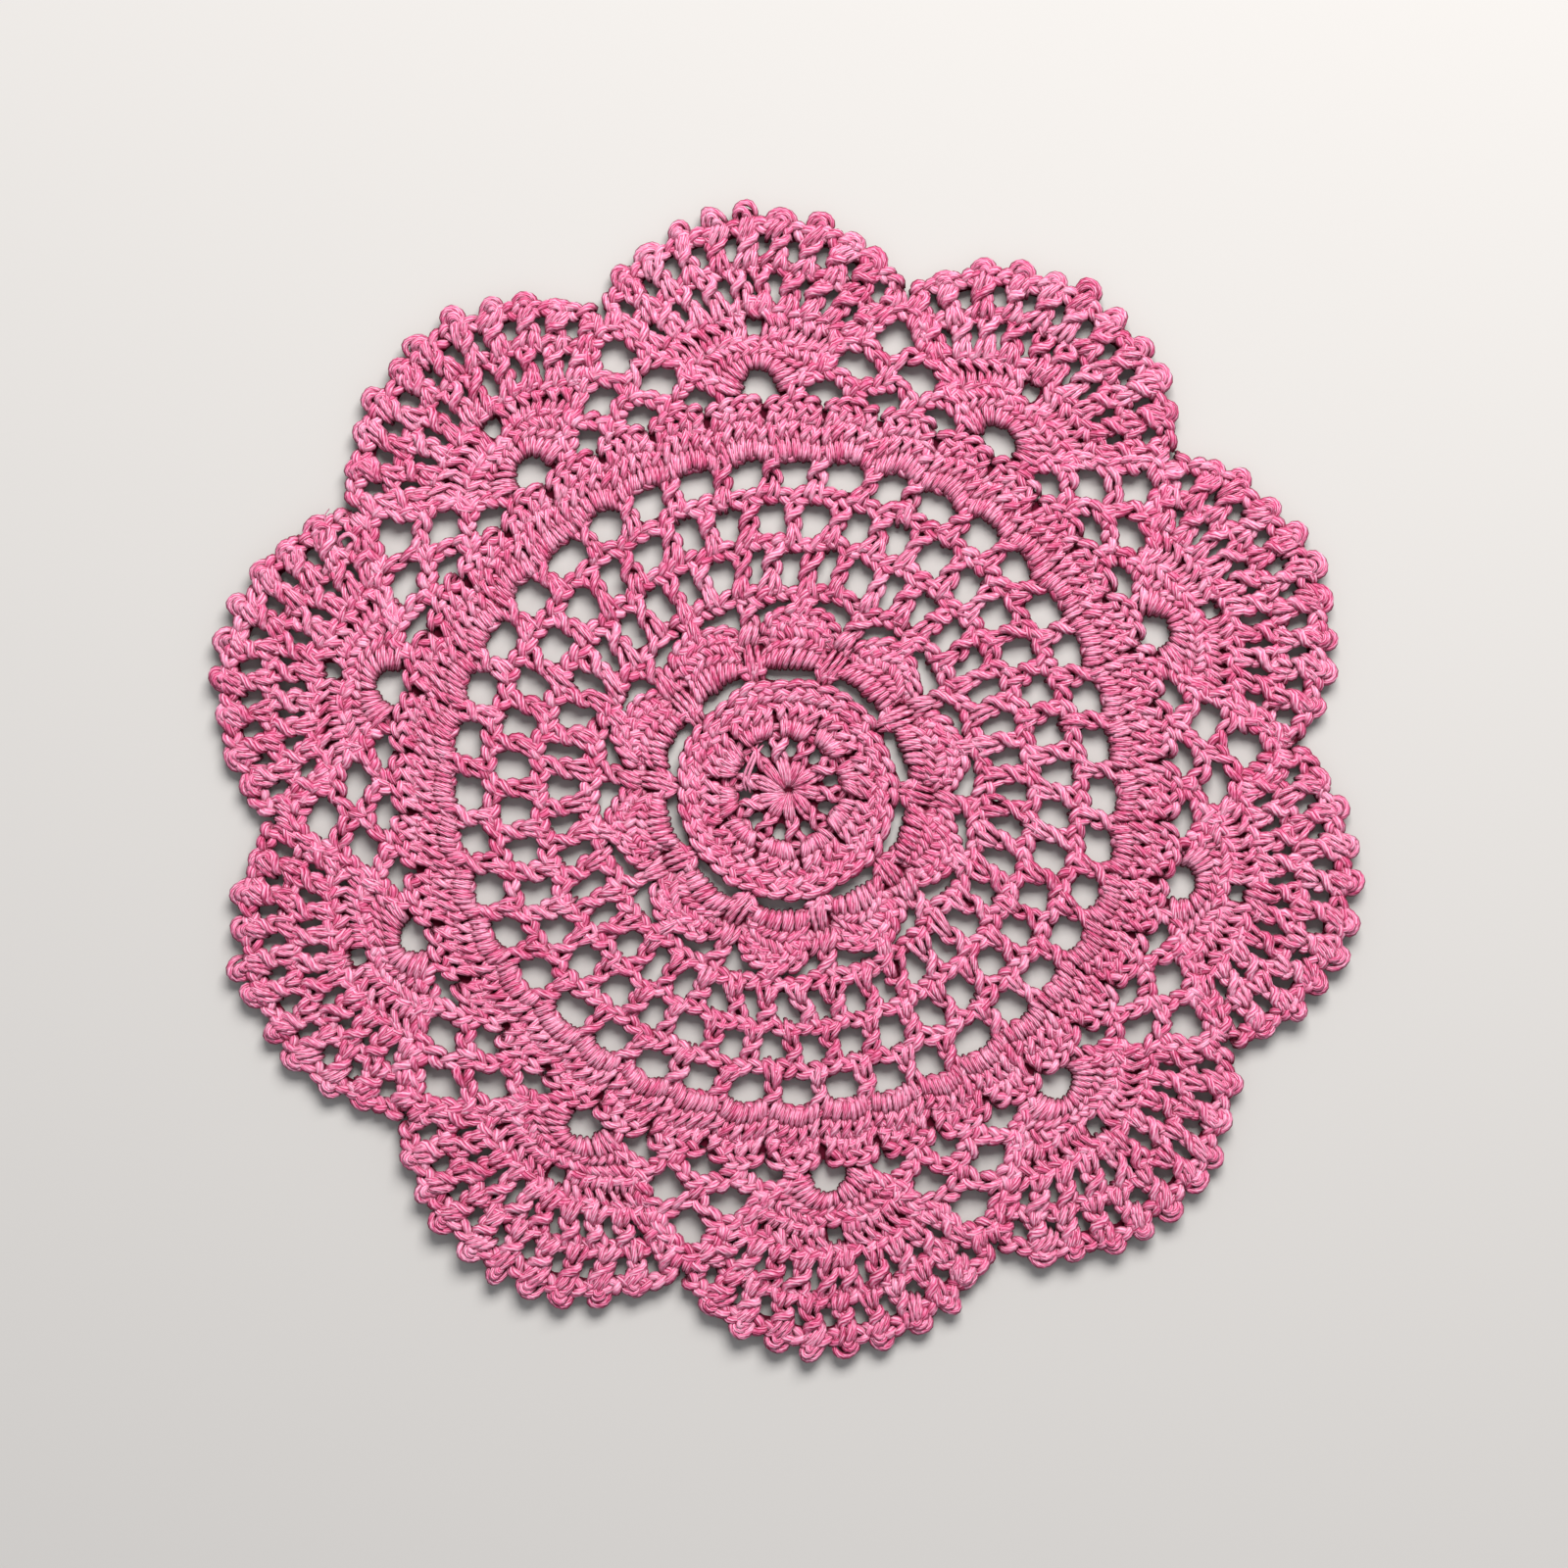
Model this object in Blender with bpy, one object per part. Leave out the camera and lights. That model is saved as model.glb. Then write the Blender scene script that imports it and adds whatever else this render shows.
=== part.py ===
"""Round crochet lace doily in pink cotton: one flat piece with its gaps cut through.

The doily is worked in rounds from the middle outwards: a solid middle, ten
inner shells, three rounds of open net, a band of forty small shells, rows of
chain loops, and ten petals whose rims carry nine picots each. It lies flat,
with its underside at Z = 0 and the middle of its first round over the origin.
Angles run clockwise from +Y, seen from above.
"""
import math
import random

import bmesh
import bpy

MM = 0.001

# Driving sizes, in millimetres and degrees
THICKNESS = 3.0
REPEATS = 10
REPEAT_ANGLE = 360.0 / REPEATS
NET_STITCHES = 40
NET_ANGLE = 360.0 / NET_STITCHES
WELD = 0.01 * MM

# A petal is a fan worked round a hub of its own, out on the petal's axis
PETAL_AXIS = 31.5
PETAL_HUB = 79.8
NOTCH_AXIS = 13.5
NOTCH_RADIUS = 108.4

# Rim of a petal: its picots stand on an arc round the hub
PICOTS = 9
PICOT_PITCH = 10.6
PICOT_REACH = 45.6
PICOT_DROP = 1.7
PICOT_HEIGHT = 3.2
PICOT_SHOULDER = 0.9
PICOT_HALF_TIP = 2.6
PICOT_HALF_FOOT = 3.5

# Where handwork has crept and swelled, one row for each petal:
# creep of the net and of the rim in degrees, swell of the rounds and of the notch in millimetres
CREEP_NET, CREEP_RIM, SWELL, SWELL_NOTCH = range(4)
UNEVEN = (
    (0.0, -0.1, 1.0, 1.6),
    (0.0, -0.5, -0.4, 0.9),
    (0.0, -0.3, 0.6, -1.8),
    (-1.5, -2.0, -0.6, 1.0),
    (-2.5, -1.6, -2.5, -0.8),
    (-2.0, -0.5, -2.4, 2.2),
    (-1.0, 0.9, 0.0, -0.1),
    (-1.0, 1.1, 1.7, 0.4),
    (0.5, 1.5, 0.9, 0.8),
    (0.5, 0.4, 0.3, 1.7),
)
EVEN_INSIDE = 40.0
CREPT_NET = 63.0
NET_ENDS = 71.0
RIM_STARTS = 86.0

# Gaps in the rounds: how many, where the first one is, the radius of their middles,
# their width and height, and their corners
ROUND_GAPS = (
    # count, first angle, radius, width, height, corners
    (REPEATS, 8.0, 9.9, 2.2, 4.4, 4),         # spaces of the first round
    (REPEATS, 2.0, 24.9, 11.4, 2.6, 8),       # loops under the inner shells
    (REPEATS, 14.0, 37.8, 5.2, 5.0, 6),       # beside each inner shell's tip
    (REPEATS, 33.0, 39.9, 4.6, 2.3, 6),       # slits on its other side
    (NET_STITCHES, 1.0, 47.5, 4.3, 6.9, 6),   # first net round
    (NET_STITCHES, 5.5, 57.6, 5.0, 7.4, 7),   # second net round
    (NET_STITCHES, 1.0, 67.7, 6.2, 7.6, 7),   # third net round
    (REPEATS, 4.5, 85.4, 6.4, 4.6, 6),        # chain loops over the shell band
    (REPEATS, 13.5, 84.9, 6.4, 4.6, 6),
    (REPEATS, 22.5, 85.4, 6.4, 4.6, 6),
    (REPEATS, 31.5, 85.9, 8.4, 7.8, 8),       # spaces that the petals grow from
    (REPEATS, 9.0, 92.4, 6.5, 4.2, 6),        # second row of chain loops
    (REPEATS, 18.0, 92.4, 6.5, 4.2, 6),
    (REPEATS, 13.5, 99.3, 6.6, 6.8, 8),       # last chain loop of each notch
)

# Gaps inside a petal, on arcs round its hub
PETAL_GAPS = (
    # count, pitch, radius, width, height, corners
    (1, 0.0, 19.3, 2.4, 3.6, 5),              # space on the petal's axis
    (5, 12.0, 27.5, 2.3, 6.0, 5),             # long spaces of the third row
)

# How much a gap's width and height vary, and the seed of that variation
GAP_VARIES = 0.10
GAP_SEED = 7
GAP_SQUARENESS = 3.0
GAP_FLARE = 0.10

PINK = (0.78, 0.19, 0.35, 1.0)


def ease(low, high, value):
    """Rise smoothly from 0 at low to 1 at high."""
    share = min(max((value - low) / (high - low), 0.0), 1.0)
    return share * share * (3.0 - 2.0 * share)


def uneven(column, angle, first_angle):
    """Read one column of UNEVEN at an angle, smoothly between the rows."""
    turns = ((angle - first_angle) / REPEAT_ANGLE) % REPEATS
    row = int(turns) % REPEATS
    blend = ease(0.0, 1.0, turns - int(turns))
    here = UNEVEN[row][column]
    after = UNEVEN[(row + 1) % REPEATS][column]
    return here + (after - here) * blend


def place(radius, angle):
    """Turn an even radius and angle into the X and Y of the handmade round, in millimetres."""
    in_net = ease(EVEN_INSIDE, CREPT_NET, radius)
    in_rim = ease(NET_ENDS, RIM_STARTS, radius)
    creep = in_net * (1.0 - in_rim) * uneven(CREEP_NET, angle, PETAL_AXIS)
    creep += in_rim * uneven(CREEP_RIM, angle, PETAL_AXIS)
    grown = radius + in_net * uneven(SWELL, angle, PETAL_AXIS)
    turned = math.radians(angle + creep)
    return grown * math.sin(turned), grown * math.cos(turned)


def place_in_petal(petal, radius, angle):
    """Place a point given by its radius and angle round a petal's hub."""
    across = radius * math.sin(math.radians(angle))
    outward = PETAL_HUB + radius * math.cos(math.radians(angle))
    axis = PETAL_AXIS + petal * REPEAT_ANGLE
    return place(math.hypot(across, outward), axis + math.degrees(math.atan2(across, outward)))


def gap_shape(width, height, corners, chance):
    """List a gap's corners as steps sideways and outward, as a rounded box a little wider on top."""
    wide = 0.5 * width * chance.uniform(1.0 - GAP_VARIES, 1.0 + GAP_VARIES)
    high = 0.5 * height * chance.uniform(1.0 - GAP_VARIES, 1.0 + GAP_VARIES)
    power = 2.0 / GAP_SQUARENESS
    steps = []
    for corner in range(corners):
        turn = (corner + 0.5) * math.tau / corners
        side = math.copysign(abs(math.cos(turn)) ** power, math.cos(turn))
        rise = math.copysign(abs(math.sin(turn)) ** power, math.sin(turn))
        steps.append((wide * side * (1.0 + GAP_FLARE * rise), high * rise))
    return steps


def round_gaps(chance):
    """List the outlines of the gaps that lie in the doily's rounds."""
    outlines = []
    for count, first, radius, width, height, corners in ROUND_GAPS:
        for index in range(count):
            angle = first + index * 360.0 / count
            steps = gap_shape(width, height, corners, chance)
            outlines.append([
                place(radius + rise, angle + math.degrees(side / radius))
                for side, rise in steps
            ])
    return outlines


def petal_gaps(chance):
    """List the outlines of the gaps that lie inside the petals."""
    outlines = []
    for petal in range(REPEATS):
        for count, pitch, radius, width, height, corners in PETAL_GAPS:
            for index in range(count):
                angle = (index - 0.5 * (count - 1)) * pitch
                steps = gap_shape(width, height, corners, chance)
                outlines.append([
                    place_in_petal(petal, radius + rise, angle + math.degrees(side / radius))
                    for side, rise in steps
                ])
    return outlines


def rim():
    """List the points of the outer edge: the notch before each petal, then its picots."""
    points = []
    for petal in range(REPEATS):
        notch = NOTCH_RADIUS + UNEVEN[petal][SWELL_NOTCH]
        points.append(place(notch, NOTCH_AXIS + petal * REPEAT_ANGLE))
        for picot in range(PICOTS):
            middle = (picot - 0.5 * (PICOTS - 1)) * PICOT_PITCH
            share = middle / (0.5 * (PICOTS - 1) * PICOT_PITCH)
            tip = PICOT_REACH - PICOT_DROP * share * share
            for turn, reach in (
                (-PICOT_HALF_FOOT, tip - PICOT_HEIGHT),
                (-PICOT_HALF_TIP, tip - PICOT_SHOULDER),
                (0.0, tip),
                (PICOT_HALF_TIP, tip - PICOT_SHOULDER),
                (PICOT_HALF_FOOT, tip - PICOT_HEIGHT),
            ):
                points.append(place_in_petal(petal, reach, middle + turn))
    return points


def add_outline(curve, points):
    """Add one closed outline to a flat curve."""
    spline = curve.splines.new("POLY")
    spline.points.add(len(points) - 1)
    for target, (x, y) in zip(spline.points, points):
        target.co = (x * MM, y * MM, 0.0, 1.0)
    spline.use_cyclic_u = True


def cotton():
    """Make the doily's one material, matt pink cotton."""
    material = bpy.data.materials.new("pink_cotton")
    material.use_nodes = True
    shader = material.node_tree.nodes["Principled BSDF"]
    shader.inputs["Base Color"].default_value = PINK
    shader.inputs["Roughness"].default_value = 0.85
    shader.inputs["Metallic"].default_value = 0.0
    return material


def build_doily():
    """Cut the sheet out of its outline and gaps, and lay it with its underside at Z = 0."""
    chance = random.Random(GAP_SEED)
    curve = bpy.data.curves.new("doily_outline", "CURVE")
    curve.dimensions = "2D"
    curve.fill_mode = "BOTH"
    curve.extrude = 0.5 * THICKNESS * MM
    add_outline(curve, rim())
    for outline in round_gaps(chance) + petal_gaps(chance):
        add_outline(curve, outline)
    flat = bpy.data.objects.new("doily_outline", curve)
    flat.location.z = 0.5 * THICKNESS * MM
    bpy.context.scene.collection.objects.link(flat)
    bpy.context.view_layer.update()

    evaluated = flat.evaluated_get(bpy.context.evaluated_depsgraph_get())
    mesh = bpy.data.meshes.new_from_object(evaluated)
    mesh.name = "doily"
    sheet = bmesh.new()
    sheet.from_mesh(mesh)
    bmesh.ops.remove_doubles(sheet, verts=sheet.verts, dist=WELD)
    bmesh.ops.recalc_face_normals(sheet, faces=sheet.faces)
    sheet.to_mesh(mesh)
    sheet.free()
    mesh.materials.clear()
    mesh.materials.append(cotton())

    doily = bpy.data.objects.new("doily", mesh)
    doily.matrix_world = flat.matrix_world.copy()
    parts = bpy.data.collections.new("lace_doily")
    bpy.context.scene.collection.children.link(parts)
    parts.objects.link(doily)
    bpy.data.objects.remove(flat)
    return doily


def main():
    """Empty the scene and build the doily."""
    for thing in list(bpy.data.objects):
        bpy.data.objects.remove(thing)
    build_doily()


main()
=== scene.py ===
"""Pink crochet lace doily, worked stitch by stitch in plied cotton yarn.

Every stitch is laid as tubes of four-ply yarn along the way that the thread takes
through it, in the rounds that a worker makes: a solid middle, ten inner shells,
three rounds of net, forty small shells, chain loops, and ten petals with picots.
A thin ground sheet sits inside the yarn work and closes its pinholes; it is dark, painted shade
that stands for the shade deep between the stitches. Lengths are in millimetres until a mesh is
made, and angles run clockwise from +Y, in degrees.
"""
import logging
import math
from dataclasses import dataclass, field
from enum import Enum

import bmesh
import bpy
import numpy as np
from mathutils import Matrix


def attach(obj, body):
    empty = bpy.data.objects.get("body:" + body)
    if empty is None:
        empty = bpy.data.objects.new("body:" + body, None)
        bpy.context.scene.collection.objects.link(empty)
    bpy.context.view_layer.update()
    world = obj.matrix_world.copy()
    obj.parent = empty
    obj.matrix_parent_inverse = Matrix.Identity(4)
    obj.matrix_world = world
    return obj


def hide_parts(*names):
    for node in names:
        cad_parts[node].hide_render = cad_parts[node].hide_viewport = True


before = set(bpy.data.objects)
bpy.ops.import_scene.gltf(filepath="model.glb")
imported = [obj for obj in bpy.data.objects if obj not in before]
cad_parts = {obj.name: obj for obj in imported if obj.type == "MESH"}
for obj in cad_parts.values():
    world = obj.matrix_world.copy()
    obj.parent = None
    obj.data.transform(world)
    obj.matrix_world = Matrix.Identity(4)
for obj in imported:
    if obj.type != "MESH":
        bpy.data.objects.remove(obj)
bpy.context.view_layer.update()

BODY = "root"
CAD_NODE = "doily"

MM = 0.001
REPEATS = 10
REPEAT_ANGLE = 360.0 / REPEATS
NET_STITCHES = 40
NET_ANGLE = 360.0 / NET_STITCHES
FIRST_PETAL = 31.5
PETAL_AXES = np.array([FIRST_PETAL + REPEAT_ANGLE * petal for petal in range(REPEATS)])
REPEAT_STARTS = REPEAT_ANGLE * np.arange(REPEATS)
RIM_HUB = 79.8
LOWEST_LINE = 0.8
SMOOTH_STEPS = 6
RING_STEP = 1.5
STEEP = 0.9
ASIDE = (1.0, 0.3, 0.0)
PLY_BREADTH = 0.55
TINY = 1e-9

log = logging.getLogger("lace_doily")


def ease(low: float, high: float, values: np.ndarray) -> np.ndarray:
    """Rise smoothly from 0 at low to 1 at high.

    Args:
        low: where the rise starts.
        high: where it ends.
        values: the numbers to ease.

    Returns:
        The eased shares, from 0 to 1.
    """
    share = np.clip((values - low) / (high - low), 0.0, 1.0)
    return share * share * (3.0 - 2.0 * share)


@dataclass
class HandWork:
    """The unevenness of work made by hand, which moves every stitch a little.

    Each row of the table is one petal: creep of the net and of the rim in degrees,
    and swell of the rounds in millimetres.
    """

    rows: tuple = (
        # creep_net, creep_rim, swell
        (0.0, -0.1, 1.0),
        (0.0, -0.5, -0.4),
        (0.0, -0.3, 0.6),
        (-1.5, -2.0, -0.6),
        (-2.5, -1.6, -2.5),
        (-2.0, -0.5, -2.4),
        (-1.0, 0.9, 0.0),
        (-1.0, 1.1, 1.7),
        (0.5, 1.5, 0.9),
        (0.5, 0.4, 0.3),
    )
    even_inside: float = 40.0
    crept_net: float = 63.0
    net_ends: float = 71.0
    rim_starts: float = 86.0
    ripple: float = 0.32
    ripple_length: float = 17.0
    ripple_starts: tuple = (1.3, 4.1)
    cross_share: float = 0.6
    cross_ripples: tuple = ((1.7, 0.7), (1.6, -0.8))
    rim_lift: float = 0.9
    lift_starts: float = 92.0
    lift_full: float = 122.0
    lift_waves: tuple = (7.0, 3.0)
    lift_turn: float = 0.8

    def column(self, index: int, angles: np.ndarray) -> np.ndarray:
        """Read one column of the table at some angles, smoothly between the petals.

        Args:
            index: which column.
            angles: where, in degrees.

        Returns:
            One value for each angle.
        """
        values = np.array([row[index] for row in self.rows])
        turns = ((angles - PETAL_AXES[0]) / REPEAT_ANGLE) % REPEATS
        here = np.floor(turns).astype(int) % REPEATS
        blend = ease(0.0, 1.0, turns - np.floor(turns))
        return values[here] + (values[(here + 1) % REPEATS] - values[here]) * blend

    def rippled(self, other: np.ndarray, own: np.ndarray, index: int) -> np.ndarray:
        """Find how far points are pushed along one axis, by ripples across it.

        Args:
            other: the points' places along the other axis.
            own: their places along this axis.
            index: 0 for X and 1 for Y.

        Returns:
            The steps to add.
        """
        wave = math.tau / self.ripple_length
        across, along = self.cross_ripples[index]
        first = np.sin(wave * other + self.ripple_starts[index])
        second = np.sin(across * wave * other + along * wave * own)
        return self.ripple * (first + self.cross_share * second)

    def bend(self, points: np.ndarray) -> np.ndarray:
        """Move points of even work to where the handmade work has them.

        Args:
            points: an array of X, Y and Z in millimetres.

        Returns:
            The moved points, in the same order.
        """
        x, y, z = points[:, 0], points[:, 1], points[:, 2]
        x = x + self.rippled(y, x, 0)
        y = y + self.rippled(x, y, 1)
        radius = np.hypot(x, y)
        angle = np.degrees(np.arctan2(x, y))
        in_net = ease(self.even_inside, self.crept_net, radius)
        in_rim = ease(self.net_ends, self.rim_starts, radius)
        creep = in_net * (1.0 - in_rim) * self.column(0, angle) + in_rim * self.column(1, angle)
        grown = radius + in_net * self.column(2, angle)
        turned = np.radians(angle + creep)
        quick, slow = self.lift_waves
        turn = np.radians(angle)
        lift = 0.5 * self.rim_lift * ease(self.lift_starts, self.lift_full, radius)
        lift = lift * (1.0 + np.sin(turn * quick) * np.cos(turn * slow + self.lift_turn))
        return np.stack([grown * np.sin(turned), grown * np.cos(turned), z + lift], axis=1)


@dataclass(frozen=True)
class Arc:
    """A row's line: an arc round a hub that lies out on the repeat's axis."""

    hub: float
    radius: float

    def at(self, angles: np.ndarray, axes: np.ndarray) -> tuple[np.ndarray, np.ndarray]:
        """Find places on the arc in every repeat.

        Args:
            angles: angles round the hub, from the repeat's axis.
            axes: the repeats' axes.

        Returns:
            The places, and the directions along the row there, repeat by repeat.
        """
        turn = np.radians(np.asarray(angles, dtype=float))[None, :]
        axis = np.radians(np.asarray(axes, dtype=float))[:, None]
        x = self.radius * np.sin(turn) + 0.0 * axis
        y = self.hub + self.radius * np.cos(turn) + 0.0 * axis
        cosine, sine = np.cos(axis), np.sin(axis)
        place = np.stack([x * cosine + y * sine, y * cosine - x * sine], axis=-1)
        along = np.stack([np.cos(turn + axis), -np.sin(turn + axis)], axis=-1)
        return place.reshape(-1, 2), along.reshape(-1, 2)


@dataclass(frozen=True)
class Strand:
    """One visible run of yarn in a stitch.

    Its points are steps across, up and above the stitch's foot: across in half
    stitch widths, up as a share of the stitch's height, and above in millimetres.
    """

    points: tuple
    radius: float = 0.72
    hidden: bool = False


@dataclass(frozen=True)
class Stitch:
    """A stitch's strands, in the order that they are laid."""

    strands: tuple


class StitchKind(Enum):
    """The stitches that the doily is worked in."""

    # A net post: three strands clasp the chain below, and two cross over above them
    POST = Stitch((
        Strand(((-0.92, -0.25, 0.9), (-0.98, -0.14, 2.2), (-0.94, 0.02, 2.9), (-0.72, 0.18, 2.9),
                (-0.46, 0.33, 2.2), (-0.34, 0.40, 1.3)), 0.72),
        Strand(((0.02, -0.26, 0.9), (0.0, -0.15, 2.4), (0.0, 0.02, 3.1), (0.10, 0.20, 3.1),
                (0.18, 0.35, 2.4), (0.16, 0.42, 1.4)), 0.72),
        Strand(((0.94, -0.23, 0.9), (1.00, -0.13, 2.2), (0.96, 0.02, 2.8), (0.80, 0.18, 2.8),
                (0.58, 0.30, 2.2), (0.46, 0.38, 1.3)), 0.72),
        Strand(((0.44, 0.22, 1.3), (0.80, 0.32, 2.1), (0.74, 0.44, 2.1), (0.22, 0.53, 1.8),
                (-0.46, 0.61, 2.0), (-0.80, 0.74, 2.4), (-0.58, 0.92, 2.0), (-0.10, 1.04, 1.2)), 0.96),
        Strand(((-0.46, 0.26, 1.3), (-0.80, 0.39, 2.3), (-0.66, 0.52, 2.8), (-0.06, 0.62, 3.0),
                (0.60, 0.72, 2.7), (0.80, 0.85, 2.3), (0.46, 0.98, 1.9), (0.10, 1.05, 1.2)), 0.98),
        Strand(((-0.5, -0.16, 1.2), (-0.45, 0.0, 0.80), (-0.30, 0.5, 0.8), (-0.30, 1.0, 1.1)), 0.78, True),
        Strand(((0.5, -0.16, 1.2), (0.45, 0.0, 0.80), (0.30, 0.5, 0.8), (0.30, 1.0, 1.1)), 0.78, True),
    ))
    # A close stitch of the small shells: two strands over the rope below, two plump ones slanting above
    OVER = Stitch((
        Strand(((-0.50, -0.01, 0.8), (-0.54, 0.04, 2.2), (-0.52, 0.15, 3.1), (-0.50, 0.31, 3.2),
                (-0.46, 0.47, 2.5), (-0.40, 0.55, 1.3)), 0.66),
        Strand(((0.50, 0.02, 0.8), (0.48, 0.07, 2.3), (0.50, 0.19, 3.2), (0.52, 0.35, 3.2),
                (0.56, 0.51, 2.5), (0.60, 0.59, 1.3)), 0.66),
        Strand(((0.62, 0.46, 1.3), (0.66, 0.57, 2.2), (0.26, 0.70, 2.3), (-0.34, 0.83, 2.4),
                (-0.62, 0.95, 2.0), (-0.50, 1.04, 1.3)), 0.82),
        Strand(((-0.56, 0.46, 1.4), (-0.62, 0.58, 2.5), (-0.20, 0.72, 3.0), (0.36, 0.85, 2.8),
                (0.60, 0.97, 2.1), (0.50, 1.06, 1.4)), 0.82),
        Strand(((0.0, 0.03, 1.1), (0.0, 0.2, 0.80), (0.0, 0.5, 0.8), (0.0, 1.0, 1.1)), 0.80, True),
    ))
    # A stitch of a fan: a plump strand over the loop below, and two pairs of hooks one above another
    FAN = Stitch((
        Strand(((-0.14, 0.00, 0.8), (-0.16, 0.04, 2.2), (-0.10, 0.15, 3.2), (0.0, 0.32, 3.3),
                (0.08, 0.46, 2.6), (0.10, 0.54, 1.4)), 0.79),
        Strand(((-0.66, 0.40, 1.3), (-0.62, 0.49, 2.4), (-0.16, 0.58, 3.0), (0.38, 0.66, 2.7),
                (0.56, 0.75, 1.6)), 0.80),
        Strand(((0.70, 0.44, 1.2), (0.78, 0.54, 2.1), (0.52, 0.66, 2.0), (0.02, 0.75, 1.5)), 0.78),
        Strand(((0.66, 0.64, 1.4), (0.62, 0.74, 2.5), (0.10, 0.84, 3.0), (-0.42, 0.94, 2.5),
                (-0.54, 1.04, 1.4)), 0.82),
        Strand(((-0.62, 0.62, 1.2), (-0.70, 0.72, 2.0), (-0.44, 0.83, 2.0), (-0.10, 0.92, 1.4)), 0.78),
        Strand(((0.0, 0.03, 1.0), (0.0, 0.2, 0.82), (0.0, 0.5, 0.82), (0.0, 1.0, 1.1)), 0.82, True),
    ))
    # A close stitch worked under the loops of the row below
    UNDER = Stitch((
        Strand(((-0.56, -0.14, 1.1), (-0.62, 0.02, 2.3), (-0.50, 0.24, 2.8), (-0.30, 0.46, 2.3),
                (-0.20, 0.58, 1.3)), 0.70),
        Strand(((0.36, -0.16, 1.1), (0.40, 0.0, 2.4), (0.52, 0.24, 2.9), (0.68, 0.46, 2.3),
                (0.72, 0.58, 1.3)), 0.70),
        Strand(((0.60, 0.38, 1.3), (0.50, 0.54, 2.5), (-0.02, 0.70, 2.9), (-0.50, 0.86, 2.4),
                (-0.60, 1.02, 1.5)), 0.80),
        Strand(((-0.40, 0.46, 1.2), (-0.20, 0.60, 2.0), (0.30, 0.74, 2.4), (0.58, 0.90, 2.2),
                (0.46, 1.04, 1.5)), 0.78),
        Strand(((0.0, -0.05, 1.0), (0.0, 0.5, 0.8), (0.0, 1.0, 1.1)), 0.80, True),
    ))
    # A short stitch: two plump strands hooked into each other
    SHORT = Stitch((
        Strand(((0.26, -0.22, 1.2), (0.66, 0.04, 2.3), (0.72, 0.40, 2.5), (0.24, 0.76, 2.1),
                (-0.16, 1.04, 1.3)), 0.80),
        Strand(((-0.72, -0.20, 1.2), (-0.74, 0.10, 2.4), (-0.30, 0.46, 3.0), (0.30, 0.82, 2.6),
                (0.46, 1.12, 1.5)), 0.82),
        Strand(((0.0, -0.15, 1.0), (0.0, 0.5, 0.82), (0.0, 1.1, 1.0)), 0.80, True),
    ))
    # A tie where one loop is worked round another: three short strands side by side
    KNOT = Stitch((
        Strand(((-0.86, -0.10, 0.9), (-0.92, 0.10, 2.4), (-0.74, 0.45, 3.1), (-0.52, 0.82, 2.5),
                (-0.40, 1.02, 1.2)), 0.72),
        Strand(((-0.06, -0.14, 0.9), (-0.10, 0.08, 2.6), (0.06, 0.46, 3.3), (0.22, 0.86, 2.7),
                (0.26, 1.08, 1.2)), 0.74),
        Strand(((0.74, -0.10, 0.9), (0.74, 0.10, 2.4), (0.86, 0.44, 3.0), (0.92, 0.80, 2.4),
                (0.90, 1.00, 1.2)), 0.72),
        Strand(((-0.5, 0.0, 0.85), (0.0, 0.5, 0.85), (0.5, 1.0, 0.85)), 0.80, True),
    ))
    # The first round's long stitches, three strands wide, crossing towards their heads
    RAY = Stitch((
        Strand(((-0.70, -0.06, 1.0), (-0.70, 0.06, 2.1), (-0.66, 0.30, 2.6), (-0.54, 0.48, 2.4),
                (-0.40, 0.58, 1.3)), 0.64),
        Strand(((0.0, -0.06, 1.0), (0.0, 0.06, 2.3), (0.02, 0.30, 2.9), (0.04, 0.52, 2.4),
                (0.04, 0.60, 1.4)), 0.64),
        Strand(((0.70, -0.06, 1.0), (0.70, 0.06, 2.1), (0.68, 0.30, 2.6), (0.56, 0.48, 2.4),
                (0.42, 0.58, 1.3)), 0.64),
        Strand(((0.40, 0.46, 1.3), (0.56, 0.58, 2.1), (0.22, 0.72, 2.1), (-0.34, 0.84, 2.2),
                (-0.50, 0.95, 2.1), (-0.20, 1.05, 1.3)), 0.84),
        Strand(((-0.40, 0.46, 1.3), (-0.54, 0.58, 2.3), (-0.16, 0.71, 2.9), (0.36, 0.84, 2.8),
                (0.50, 0.95, 2.2), (0.22, 1.05, 1.3)), 0.84),
        Strand(((0.0, 0.0, 0.9), (0.0, 0.5, 0.8), (0.0, 1.0, 1.1)), 0.80, True),
    ))
    # A chain: the two plump arms of a loop, crossing at its foot, and its bump behind
    CHAIN = Stitch((
        Strand(((0.50, -0.36, 1.3), (0.02, -0.14, 2.6), (-0.62, 0.20, 3.0), (-0.96, 0.58, 2.5),
                (-0.62, 0.98, 1.4)), 0.86),
        Strand(((-0.50, -0.22, 1.2), (0.0, 0.02, 2.1), (0.64, 0.36, 2.8), (0.96, 0.72, 2.4),
                (0.60, 1.12, 1.4)), 0.86),
        Strand(((0.12, -0.12, 1.2), (0.1, 0.3, 0.92), (-0.1, 0.7, 0.92), (-0.12, 1.12, 1.2)), 0.90, True),
    ))
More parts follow.
